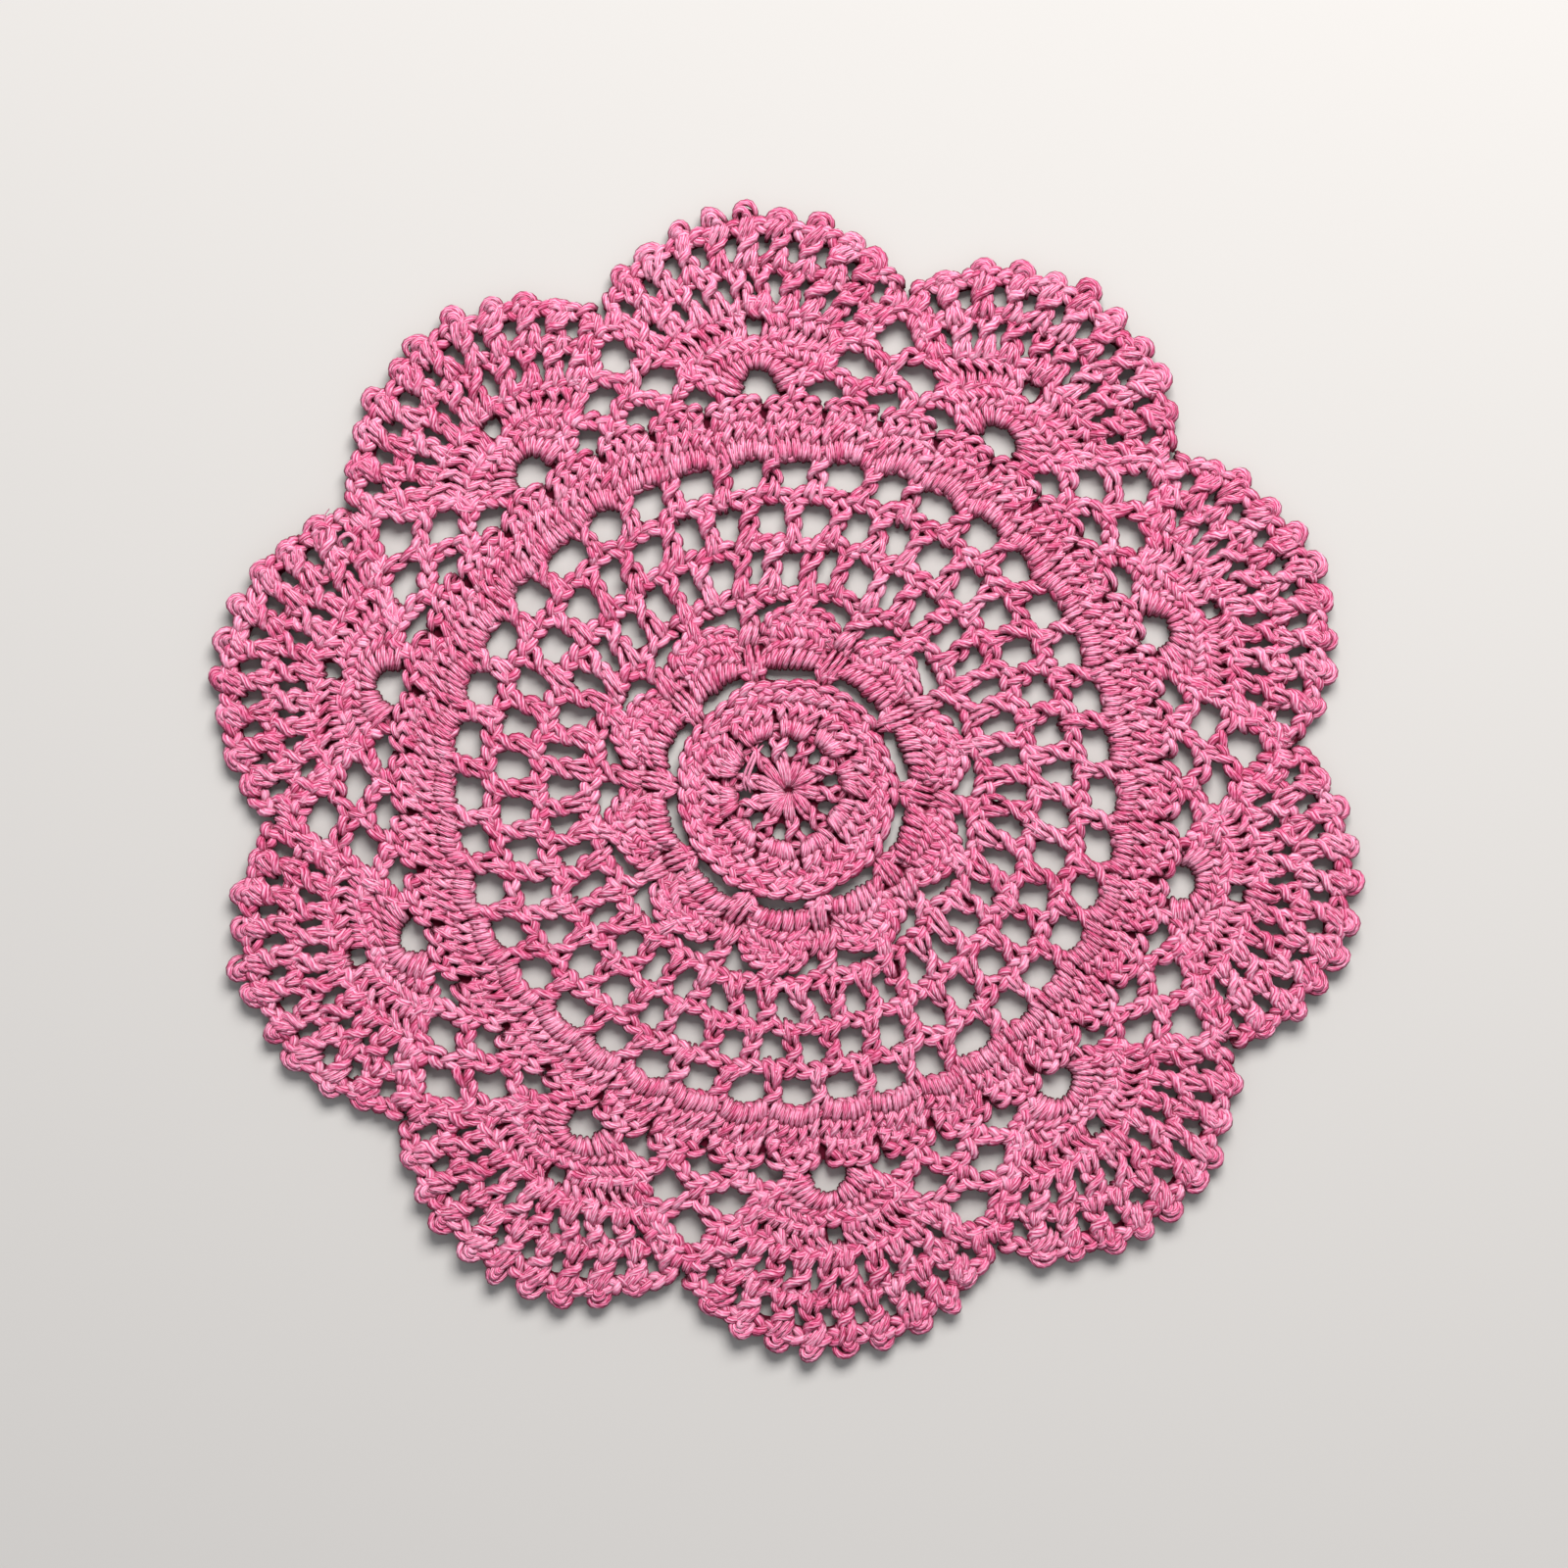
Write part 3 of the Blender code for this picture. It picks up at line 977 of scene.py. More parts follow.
@dataclass
class Net:
    """Three rounds of net: forty posts each, with two chains between them."""

    rounds: tuple = (
        # foot radius, head radius, first post's angle, a post's half widths, links for each post, their sink
        (43.0, 52.0, 5.5, (1.75, 1.55), 3, 0.3),
        (53.2, 61.9, 1.0, (1.75, 1.60), 3, 0.3),
        (63.1, 71.2, 5.5, (1.65, 1.55), 4, 0.8),
    )
    lean: float = 0.35
    stray: float = 0.32
    post_thick: float = 1.05
    post_loose: float = 2.0
    line_offset: float = 0.55
    line_wave: float = 0.55
    line_width: float = 1.3
    line_thick: float = 1.20
    line_loose: float = 1.4

    def build(self, work: YarnWork) -> None:
        """Work the three rounds.

        Args:
            work: the group of rounds that they go in.
        """
        for foot, head, first, widths, links, sink in self.rounds:
            every = first + NET_ANGLE * np.arange(NET_STITCHES)
            low, high = Arc(0.0, foot), Arc(0.0, head)
            posts = between(low, high, every - self.lean, every + self.lean, np.zeros(1), widths)
            posts.foot = posts.foot + work.chance.normal(0.0, self.stray, posts.foot.shape)
            posts.head = posts.head + work.chance.normal(0.0, self.stray, posts.head.shape)
            work.work(StitchKind.POST, posts, self.post_thick, self.post_loose)
            line = ring_places(head + self.line_offset, first, self.line_wave, NET_STITCHES)
            chains = work.along(line, links * NET_STITCHES, self.line_width, True, (sink,))
            work.work(StitchKind.CHAIN, chains, self.line_thick, self.line_loose)


@dataclass
class ShellBand:
    """Forty small shells in the net's last chain spaces, with two rows of loops over each."""

    axis: float = 1.0
    stitches: int = 5
    foot_line: Arc = Arc(64.4, 6.1)
    foot_half: float = 37.0
    shell_widths: tuple = (0.98, 1.25)
    shell_thick: float = 1.05
    hub: float = 70.5
    head_radius: float = 8.2
    head_half: float = 38.0
    loop_further: float = 0.2
    loop_wider: float = 4.0
    loop_links: int = 5
    loop_width: float = 1.2
    loop_sink: float = 0.5
    short_stitches: int = 4
    short_below: float = 0.6
    short_narrower: float = 8.0
    short_widths: tuple = (1.2, 1.2)
    short_turn: float = -0.2
    crown_radius: float = 12.3
    crown_half: float = 24.0
    crown_wider: float = 2.0
    crown_turn: float = -0.3
    crown_links: int = 4
    crown_width: float = 1.25
    crown_thick: float = 1.05
    line_stops: int = 7

    def build(self, work: YarnWork) -> None:
        """Work the shells.

        Args:
            work: the group of rounds that they go in.
        """
        axes = self.axis + NET_ANGLE * np.arange(NET_STITCHES)
        heads = Arc(self.hub, self.head_radius)
        shells = between(
            self.foot_line, heads, spread(self.stitches, self.foot_half),
            spread(self.stitches, self.head_half), axes, self.shell_widths
        )
        work.work(StitchKind.OVER, shells, self.shell_thick)
        line = Arc(self.hub, self.head_radius + self.loop_further)
        row = work.row(line, self.head_half + self.loop_wider, axes, self.loop_links, self.loop_width,
                       (self.loop_sink,), self.line_stops)
        work.work(StitchKind.CHAIN, row)
        short = between(
            heads, Arc(self.hub, self.crown_radius - self.short_below),
            spread(self.short_stitches, self.head_half - self.short_narrower),
            spread(self.short_stitches, self.crown_half), axes + self.short_turn, self.short_widths
        )
        work.work(StitchKind.SHORT, short)
        line = Arc(self.hub, self.crown_radius)
        row = work.row(line, self.crown_half + self.crown_wider, axes + self.crown_turn, self.crown_links,
                       self.crown_width, stops=self.line_stops)
        work.work(StitchKind.CHAIN, row, self.crown_thick)


@dataclass
class ChainLoops:
    """The rows of chain loops between the shell band and the petals: three, two and one a repeat."""

    anchor: float = 84.6
    small_starts: tuple = (0.3, 9.2, 18.1)
    small_span: float = 8.9
    small_loop: tuple = (
        # share of the way to the next shell, rise
        (0.0, 0.0), (0.14, 2.0), (0.32, 3.9), (0.5, 4.4), (0.68, 3.9), (0.86, 2.0), (1.0, 0.0),
    )
    second_row: tuple = (
        # angle, radius
        (4.5, 90.0), (6.0, 93.6), (9.0, 96.2), (12.0, 94.2), (13.5, 91.6),
    )
    second_span: float = 27.0
    third_row: tuple = (
        (9.4, 96.8), (10.5, 100.4), (12.0, 103.6), (13.5, 104.4), (15.0, 103.6), (16.5, 100.4), (17.6, 96.8),
    )
    links: tuple = (6, 5, 7)
    width: float = 1.35
    thick: float = 1.22
    loose: float = 1.5
    ties: tuple = (
        # the angle and radius of a tie's foot, and of its head
        ((4.4, 89.0), (4.6, 92.4)),
        ((13.4, 89.0), (13.6, 92.8)),
        ((22.6, 89.0), (22.4, 92.4)),
        ((8.9, 96.4), (9.2, 99.6)),
        ((18.1, 96.4), (17.8, 99.6)),
        ((12.6, 104.4), (12.4, 108.0)),
        ((14.4, 104.4), (14.6, 108.0)),
    )
    tie_widths: tuple = (1.45, 1.45)

    def build(self, work: YarnWork) -> None:
        """Work the rows, and tie each loop to the one below it.

        Args:
            work: the group of rounds that they go in.
        """
        small_links, second_links, third_links = self.links
        small, second, third = [], [], []
        for start in REPEAT_STARTS:
            for first in self.small_starts:
                begin = start + first
                pairs = tuple(
                    (begin + self.small_span * share, self.anchor + rise) for share, rise in self.small_loop
                )
                small.append(work.along(polar(pairs), small_links, self.width))
            pairs = tuple((start + angle, radius) for angle, radius in self.second_row)
            second.append(work.along(polar(pairs), second_links, self.width))
            mirrored = tuple((start + self.second_span - angle, radius) for angle, radius in self.second_row)
            second.append(work.along(polar(mirrored), second_links, self.width))
            pairs = tuple((start + angle, radius) for angle, radius in self.third_row)
            third.append(work.along(polar(pairs), third_links, self.width))
        for rows in (small, second, third):
            work.work(StitchKind.CHAIN, join(rows), self.thick, self.loose)
        for foot, head in self.ties:
            work.work(StitchKind.KNOT, tied(foot, head, REPEAT_STARTS, self.tie_widths))


@dataclass
class Petals:
    """Ten petals: a fan round a large loop, a close row, a row of long spaces, a net row and picots."""

    fan_hub: float = 85.4
    fan_foot: float = 4.0
    fan_foot_half: float = 96.0
    fan_stitches: int = 15
    fan_widths: tuple = (0.70, 1.40)
    loop_shape: tuple = (
        # across, outward
        (-7.6, 83.6), (-6.3, 87.2), (-3.6, 90.4), (0.0, 91.6), (3.6, 90.4), (6.3, 87.2), (7.6, 83.6),
    )
    loop_links: int = 6
    loop_width: float = 1.0
    loop_sink: float = 1.4
    fan_line: Arc = Arc(72.7, 23.1)
    fan_half: float = 44.0
    fan_links: int = 13
    fan_rise: float = -1.1
    close_line: Arc = Arc(68.0, 33.7)
    close_half: float = 39.0
    close_foot_narrower: float = 2.0
    close_stitches: int = 14
    close_widths: tuple = (1.25, 1.5)
    close_thick: float = 1.02
    close_links: int = 15
    close_rise: float = 1.2
    space_low: float = 7.0
    space_low_half: float = 7.0
    space_high: float = 4.0
    space_half: float = 8.0
    long_line: Arc = Arc(76.9, 34.9)
    long_half: float = 48.6
    long_foot_half: float = 36.4
    long_foot_further: float = 1.0
    long_posts: int = 10
    long_widths: tuple = (1.65, 2.05)
    long_thick: float = 1.15
    long_sink: float = 0.7
    pair_closer: float = 4.2
    pair_half: float = 4.0
    post_loose: float = 1.7
    row_wider: float = 2.0
    row_sink: float = 0.3
    row_stops: int = 25
    row_width: float = 1.3
    row_thick: float = 1.18
    row_loose: float = 1.3
    rim_hub: float = RIM_HUB
    rim_line: float = 40.4
    rim_sink: float = 0.5
    net_head: float = 39.6
    net_foot: float = 32.6
    net_end: float = 53.0
    net_foot_share: float = 1.015
    net_widths: tuple = (1.85, 1.75)
    net_thick: float = 1.12
    picot_pitch: float = 10.6
    picots: int = 9
    picot_width: float = 1.12
    picot_foot: float = 38.2
    picot_reach: float = 45.6
    picot_drop: float = 1.7
    picot_foot_drop_share: float = 0.8
    picot_shorter: float = 0.8
    picot_reach_varies: float = 0.40
    picot_shifts: float = 0.50
    picot_loose: float = 1.8

    def build(self, fans: YarnWork, rows: YarnWork, rim: YarnWork) -> None:
        """Work the petals' fans, their rows and their rims.

        Args:
            fans: the group that the fans go in.
            rows: the group that the close row and the row of long spaces go in.
            rim: the group that the net row and the picots go in.
        """
        self.fan(fans)
        self.close_row(rows)
        self.long_spaces(rows)
        self.net_row(rim)
        self.picot_edge(rim)

    def line(self, work: YarnWork, arc: Arc, half: float, links: int, sink: float,
             rise: float = 0.0) -> None:
        """Lay the loops along a row's line in every petal.

        Args:
            work: the group that they go in.
            arc: the row's line.
            half: how far it reaches each way.
            links: how many loops it has.
            sink: how far the links lie down.
            rise: how far the line is drawn outward on the petal's axis.
        """
        turns = spread(self.row_stops, half)
        near = rise * np.exp(-(turns / self.space_half) ** 2)[:, None]
        rows = []
        for axis in PETAL_AXES:
            here = np.array([axis])
            outward = Arc(0.0, 1.0).at(np.zeros(1), here)[0]
            places = arc.at(turns, here)[0] + near * outward
            rows.append(work.along(places, links, self.row_width, False, (sink,)))
        work.work(StitchKind.CHAIN, join(rows), self.row_thick, self.row_loose)

    def fan(self, work: YarnWork) -> None:
        """Work the fan round the large loop.

        Args:
            work: the group that they go in.
        """
        foot = Arc(self.fan_hub, self.fan_foot)
        fans = between(
            foot, self.fan_line, spread(self.fan_stitches, self.fan_foot_half),
            spread(self.fan_stitches, self.fan_half), PETAL_AXES, self.fan_widths
        )
        loops = []
        for axis in PETAL_AXES:
            shape = turned(np.array(self.loop_shape), axis)
            loops.append(work.along(shape, self.loop_links, self.loop_width, False, (self.loop_sink,)))
        work.work(StitchKind.CHAIN, join(loops))
        work.work(StitchKind.FAN, fans)
        half = self.fan_half + self.row_wider
        self.line(work, self.fan_line, half, self.fan_links, self.row_sink, self.fan_rise)

    def close_row(self, work: YarnWork) -> None:
        """Work the close row over the fan.

        Args:
            work: the group that it goes in.
        """
        count = self.close_stitches
        low = spread(count, self.fan_half - self.close_foot_narrower)
        high = spread(count, self.close_half)
        low = low + np.sign(low) * self.space_low * np.exp(-np.abs(low) / self.space_low_half)
        high = high + np.sign(high) * self.space_high * np.exp(-np.abs(high) / self.space_half)
        close = between(self.fan_line, self.close_line, low, high, PETAL_AXES, self.close_widths)
        work.work(StitchKind.UNDER, close, self.close_thick)
        half = self.close_half + self.row_wider
        self.line(work, self.close_line, half, self.close_links, self.row_sink, self.close_rise)

    def long_spaces(self, work: YarnWork) -> None:
        """Work the row of long spaces and the line of loops over it.

        Args:
            work: the group that they go in.
        """
        foot = Arc(self.close_line.hub, self.close_line.radius + self.long_foot_further)
        feet = spread(self.long_posts, self.long_foot_half)
        feet = feet - np.sign(feet) * self.pair_closer * np.exp(-np.abs(feet) / self.pair_half)
        heads = spread(self.long_posts, self.long_half)
        posts = between(foot, self.long_line, feet, heads, PETAL_AXES, self.long_widths)
        work.work(StitchKind.POST, posts, self.long_thick, self.post_loose)
        half = self.long_half + self.row_wider
        self.line(work, self.long_line, half, 2 * self.long_posts, self.long_sink)

    def net_row(self, work: YarnWork) -> None:
        """Work the net row's posts and the line of loops over them.

        Args:
            work: the group that they go in.
        """
        middles = (np.arange(self.picots) - 0.5 * (self.picots - 1)) * self.picot_pitch
        heads = np.concatenate([[-self.net_end], middles, [self.net_end]])
        low, high = Arc(self.rim_hub, self.net_foot), Arc(self.rim_hub, self.net_head)
        posts = between(low, high, heads * self.net_foot_share, heads, PETAL_AXES, self.net_widths)
        work.work(StitchKind.POST, posts, self.net_thick, self.post_loose)
        rim = Arc(self.rim_hub, self.rim_line)
        self.line(work, rim, self.net_end, 3 * self.picots, self.rim_sink)

    def picot_edge(self, work: YarnWork) -> None:
        """Work a picot over every post of the net row.

        Args:
            work: the group that they go in.
        """
        share = spread(self.picots, 1.0)
        number = len(PETAL_AXES) * self.picots
        angles = share * 0.5 * (self.picots - 1) * self.picot_pitch
        reach = np.tile(self.picot_reach - self.picot_drop * share ** 2, len(PETAL_AXES))
        foot, side = Arc(self.rim_hub, 1.0).at(angles, PETAL_AXES)
        hub = Arc(0.0, self.rim_hub).at(np.zeros(self.picots), PETAL_AXES)[0]
        outward = foot - hub
        top = reach - self.picot_shorter + work.chance.normal(0.0, self.picot_reach_varies, number)
        drop = self.picot_foot_drop_share * self.picot_drop * share ** 2
        low = np.tile(self.picot_foot - drop, len(PETAL_AXES))
        aside = side * work.chance.normal(0.0, self.picot_shifts, number)[:, None]
        wide = np.full(number, self.picot_width)
        picots = Batch(
            hub + outward * low[:, None] + aside, hub + outward * top[:, None] + aside,
            side, side, wide, wide.copy(), np.zeros(number)
        )
        work.work(StitchKind.PICOT, picots, loose=self.picot_loose)


@dataclass
class LooseEnds:
    """Bits of yarn left by the worker: a split end by the middle, and a curl at the left."""

    ends: tuple = (
        # radius, then the places that the end passes
        (0.36, ((-4.6, 9.0, 1.6), (-6.0, 7.4, 3.0), (-7.6, 4.6, 3.5), (-8.5, 1.4, 3.5), (-8.0, -1.2, 2.4))),
        (0.36, ((-5.6, 9.4, 1.6), (-7.0, 7.2, 3.1), (-8.7, 4.2, 3.4), (-9.4, 1.2, 3.3), (-8.9, -0.8, 2.6))),
        (0.62, ((-93.0, 48.6, 1.8), (-92.4, 50.2, 3.2), (-94.0, 51.6, 3.5), (-95.8, 50.4, 3.3),
                (-95.0, 48.9, 2.2))),
        (0.16, ((-96.6, 50.0, 2.0), (-98.4, 52.6, 3.0), (-98.8, 55.4, 3.1), (-97.6, 57.0, 2.2))),
        (0.12, ((-40.2, 69.8, 2.0), (-41.4, 71.0, 3.3), (-40.4, 72.4, 3.5), (-39.2, 71.4, 3.1),
                (-39.8, 70.4, 2.2))),
    )
    fewest_steps: int = 6
    step: float = 0.9
    sides: int = 8
    tone: float = 0.95

    def build(self, work: YarnWork) -> None:
        """Lay the ends.

        Args:
            work: the group that they go in.
        """
        for radius, places in self.ends:
            path = np.array(places)
            run = float(np.linalg.norm(np.diff(path, axis=0), axis=1).sum())
            line = smooth_run(path, max(self.fewest_steps, round(run / self.step)))
            work.sweep(line[None, :, :], radius, self.sides, np.array([self.tone]))


@dataclass
class Ground:
    """The thin sheet inside the yarn work, with every gap of the lace cut through it; its dark finish is
    painted shade, standing for the shade deep between the stitches.
    """

    thickness: float = 0.5
    height: float = 1.35
    shell_axis: float = 4.2
    shell_hub: float = 27.7
    shell_reach: float = 11.0
    shoulder_spans: tuple = ((-16.2, -1.8), (1.8, 16.6))
    shoulder_points: int = 7
    chain_inside: float = 41.6
    rim_hub: float = RIM_HUB
    rim_radius: float = 39.8
    rim_half: float = 42.4
    rim_points: int = 21
    petal_side: tuple = (
        # across, outward, in a petal whose axis is +Y
        (-21.1, 103.2), (-16.3, 97.4), (-13.4, 90.2), (-5.6, 82.4),
    )
    band_edge: float = 80.9
    band_turns: tuple = (9.0, 13.5, 18.0, 22.5, 27.0)
    round_gaps: tuple = (
        # count, first angle, radius, width, height
        (REPEATS, 8.0, 9.9, 2.6, 5.0),
        (REPEATS, 2.0, 24.9, 13.4, 3.0),
        (NET_STITCHES, 1.0, 47.5, 6.0, 8.2),
        (NET_STITCHES, 5.5, 57.6, 7.5, 8.4),
        (NET_STITCHES, 1.0, 67.6, 9.0, 7.8),
        (REPEATS, 31.5, 86.1, 8.6, 8.2),
    )
    petal_gaps: tuple = (
        # count, pitch, radius round the rim's hub, width, height
        (1, 0.0, 18.9, 3.6, 4.2),
        (7, 12.0, 27.6, 4.2, 7.2),
        (8, 10.6, 35.9, 5.2, 4.8),
    )
    corners: int = 10
    squareness: float = 3.0
    join_distance: float = 0.01

    def gap(self, middle: float, radius: float, width: float, height: float) -> np.ndarray:
        """Draw the rounded outline of a gap.

        Args:
            middle: the angle of its middle.
            radius: the radius of its middle.
            width: the gap's width.
            height: its height.

        Returns:
            The corners, in order.
        """
        power = 2.0 / self.squareness
        corners = []
        for corner in range(self.corners):
            turn = (corner + 0.5) * math.tau / self.corners
            side = 0.5 * width * math.copysign(abs(math.cos(turn)) ** power, math.cos(turn))
            rise = 0.5 * height * math.copysign(abs(math.sin(turn)) ** power, math.sin(turn))
            corners.append((middle + math.degrees(side / radius), radius + rise))
        return polar(tuple(corners))

    def outlines(self) -> list[np.ndarray]:
        """List the sheet's rim and its gaps, as lines of points in even work."""
        lines = [self.rim()]
        for count, first, radius, width, height in self.round_gaps:
            for index in range(count):
                lines.append(self.gap(first + index * 360.0 / count, radius, width, height))
        lines += self.shoulders()
        for axis in PETAL_AXES:
            for count, pitch, radius, width, height in self.petal_gaps:
                for index in range(count):
                    local = self.gap((index - 0.5 * (count - 1)) * pitch, radius, width, height)
                    lines.append(turned(local + np.array([0.0, self.rim_hub]), axis))
        return lines

    def shoulders(self) -> list[np.ndarray]:
        """List the gaps between each inner shell's rounded shoulders and the chain round over it."""
        gaps = []
        for start in REPEAT_STARTS:
            for low, high in self.shoulder_spans:
                turns = np.linspace(low, high, self.shoulder_points)
                over = [(start + self.shell_axis + turn, self.chain_inside) for turn in turns]
                reach = [
                    self.shell_hub * math.cos(math.radians(turn))
                    + math.sqrt(self.shell_reach ** 2 - (self.shell_hub * math.sin(math.radians(turn))) ** 2)
                    for turn in turns
                ]
                under = [(start + self.shell_axis + turn, out) for turn, out in zip(turns, reach)]
                gaps.append(polar(tuple(over + under[::-1])))
        return gaps

    def rim(self) -> np.ndarray:
        """Trace the sheet's edge, inside the rims' chains and the small shells' crowns."""
        side = np.array(self.petal_side)
        angles = np.linspace(-self.rim_half, self.rim_half, self.rim_points)
        arc = polar(tuple((angle, self.rim_radius) for angle in angles)) + np.array([0.0, self.rim_hub])
        petal = np.vstack([side[::-1], arc, side * np.array([-1.0, 1.0])])
        pieces = []
        for axis in PETAL_AXES:
            pieces.append(turned(petal, axis))
            pieces.append(polar(tuple((axis + turn, self.band_edge) for turn in self.band_turns)))
        return np.vstack(pieces)

    def build(self, hands: HandWork, material: bpy.types.Material) -> bpy.types.Object:
        """Cut the sheet out and lay it inside the yarn work.

        Args:
            hands: the unevenness that it shares with the yarn.
            material: its finish.

        Returns:
            The finished sheet.
        """
        curve = bpy.data.curves.new("ground_outline", "CURVE")
        curve.dimensions = "2D"
        curve.fill_mode = "BOTH"
        curve.extrude = 0.5 * self.thickness * MM
        for line in self.outlines():
            places = hands.bend(np.column_stack([line, np.zeros(len(line))])) * MM
            spline = curve.splines.new("POLY")
            spline.points.add(len(places) - 1)
            for target, place in zip(spline.points, places):
                target.co = (place[0], place[1], 0.0, 1.0)
            spline.use_cyclic_u = True
        flat = bpy.data.objects.new("ground_outline", curve)
        bpy.context.scene.collection.objects.link(flat)
        bpy.context.view_layer.update()
        mesh = bpy.data.meshes.new_from_object(flat.evaluated_get(bpy.context.evaluated_depsgraph_get()))
        bpy.data.objects.remove(flat)
        cloth = bmesh.new()
        cloth.from_mesh(mesh)
        bmesh.ops.remove_doubles(cloth, verts=cloth.verts, dist=self.join_distance * MM)
        bmesh.ops.recalc_face_normals(cloth, faces=cloth.faces)
        bmesh.ops.translate(cloth, verts=cloth.verts, vec=(0.0, 0.0, self.height * MM))
        cloth.to_mesh(mesh)
        cloth.free()
        mesh.name = "doily_ground"
        mesh.materials.clear()
        mesh.materials.append(material)
        sheet = bpy.data.objects.new("doily_ground", mesh)
        bpy.context.scene.collection.objects.link(sheet)
        log.info("doily_ground: %d faces", len(mesh.polygons))
        return sheet

    @staticmethod
    def flat_area(sheet: bpy.types.Object) -> float:
        """Measure the sheet's flat area from its faces that look up."""
        return sum(face.area for face in sheet.data.polygons if face.normal.z > 0.5)


def fibre_group() -> bpy.types.ShaderNodeTree:
    """Make the node group of plies and fibres that run along the yarn.

    Returns:
        The group, with the yarn's own wrap as its input.
    """
    group = bpy.data.node_groups.new("cotton_fibres", "ShaderNodeTree")
    sockets = group.interface
    sockets.new_socket("Wrap", in_out="INPUT", socket_type="NodeSocketVector")
    for name, value in (("Plies", 8.0), ("Fineness", 2.5), ("Run", 0.55), ("Wander", 5.0)):
        socket = sockets.new_socket(name, in_out="INPUT", socket_type="NodeSocketFloat")
        socket.default_value = value
    sockets.new_socket("Fibre", in_out="OUTPUT", socket_type="NodeSocketFloat")
    sockets.new_socket("Ply", in_out="OUTPUT", socket_type="NodeSocketFloat")
    nodes, links = group.nodes, group.links
    enter = nodes.new("NodeGroupInput")
    leave = nodes.new("NodeGroupOutput")

    def maths(operation: str, *values: float | bpy.types.NodeSocket) -> bpy.types.NodeSocket:
        """Add one calculation.

        Args:
            operation: which calculation.
            values: its numbers, or the sockets that they come from.

        Returns:
            The socket of its result.
        """
        node = nodes.new("ShaderNodeMath")
        node.operation = operation
        for socket, value in zip(node.inputs, values):
            if isinstance(value, bpy.types.NodeSocket):
                links.new(value, socket)
            else:
                socket.default_value = value
        return node.outputs[0]

    apart = nodes.new("ShaderNodeSeparateXYZ")
    links.new(enter.outputs["Wrap"], apart.inputs[0])
    turn = maths("MULTIPLY", apart.outputs[0], math.tau)
    around = nodes.new("ShaderNodeCombineXYZ")
    links.new(maths("MULTIPLY", maths("COSINE", turn), enter.outputs["Fineness"]), around.inputs[0])
    links.new(maths("MULTIPLY", maths("SINE", turn), enter.outputs["Fineness"]), around.inputs[1])
    links.new(maths("MULTIPLY", apart.outputs[1], enter.outputs["Run"]), around.inputs[2])
    noise = nodes.new("ShaderNodeTexNoise")
    noise.inputs["Scale"].default_value = 1.0
    noise.inputs["Detail"].default_value = 2.0
    noise.inputs["Roughness"].default_value = 0.6
    links.new(around.outputs[0], noise.inputs["Vector"])
    links.new(noise.outputs[0], leave.inputs["Fibre"])
    straight = maths("MULTIPLY", turn, enter.outputs["Plies"])
    shifted = maths("MULTIPLY_ADD", noise.outputs[0], enter.outputs["Wander"], straight)
    wave = maths("MULTIPLY_ADD", maths("COSINE", shifted), 0.5, 0.5)
    links.new(maths("POWER", wave, PLY_BREADTH), leave.inputs["Ply"])
    return group


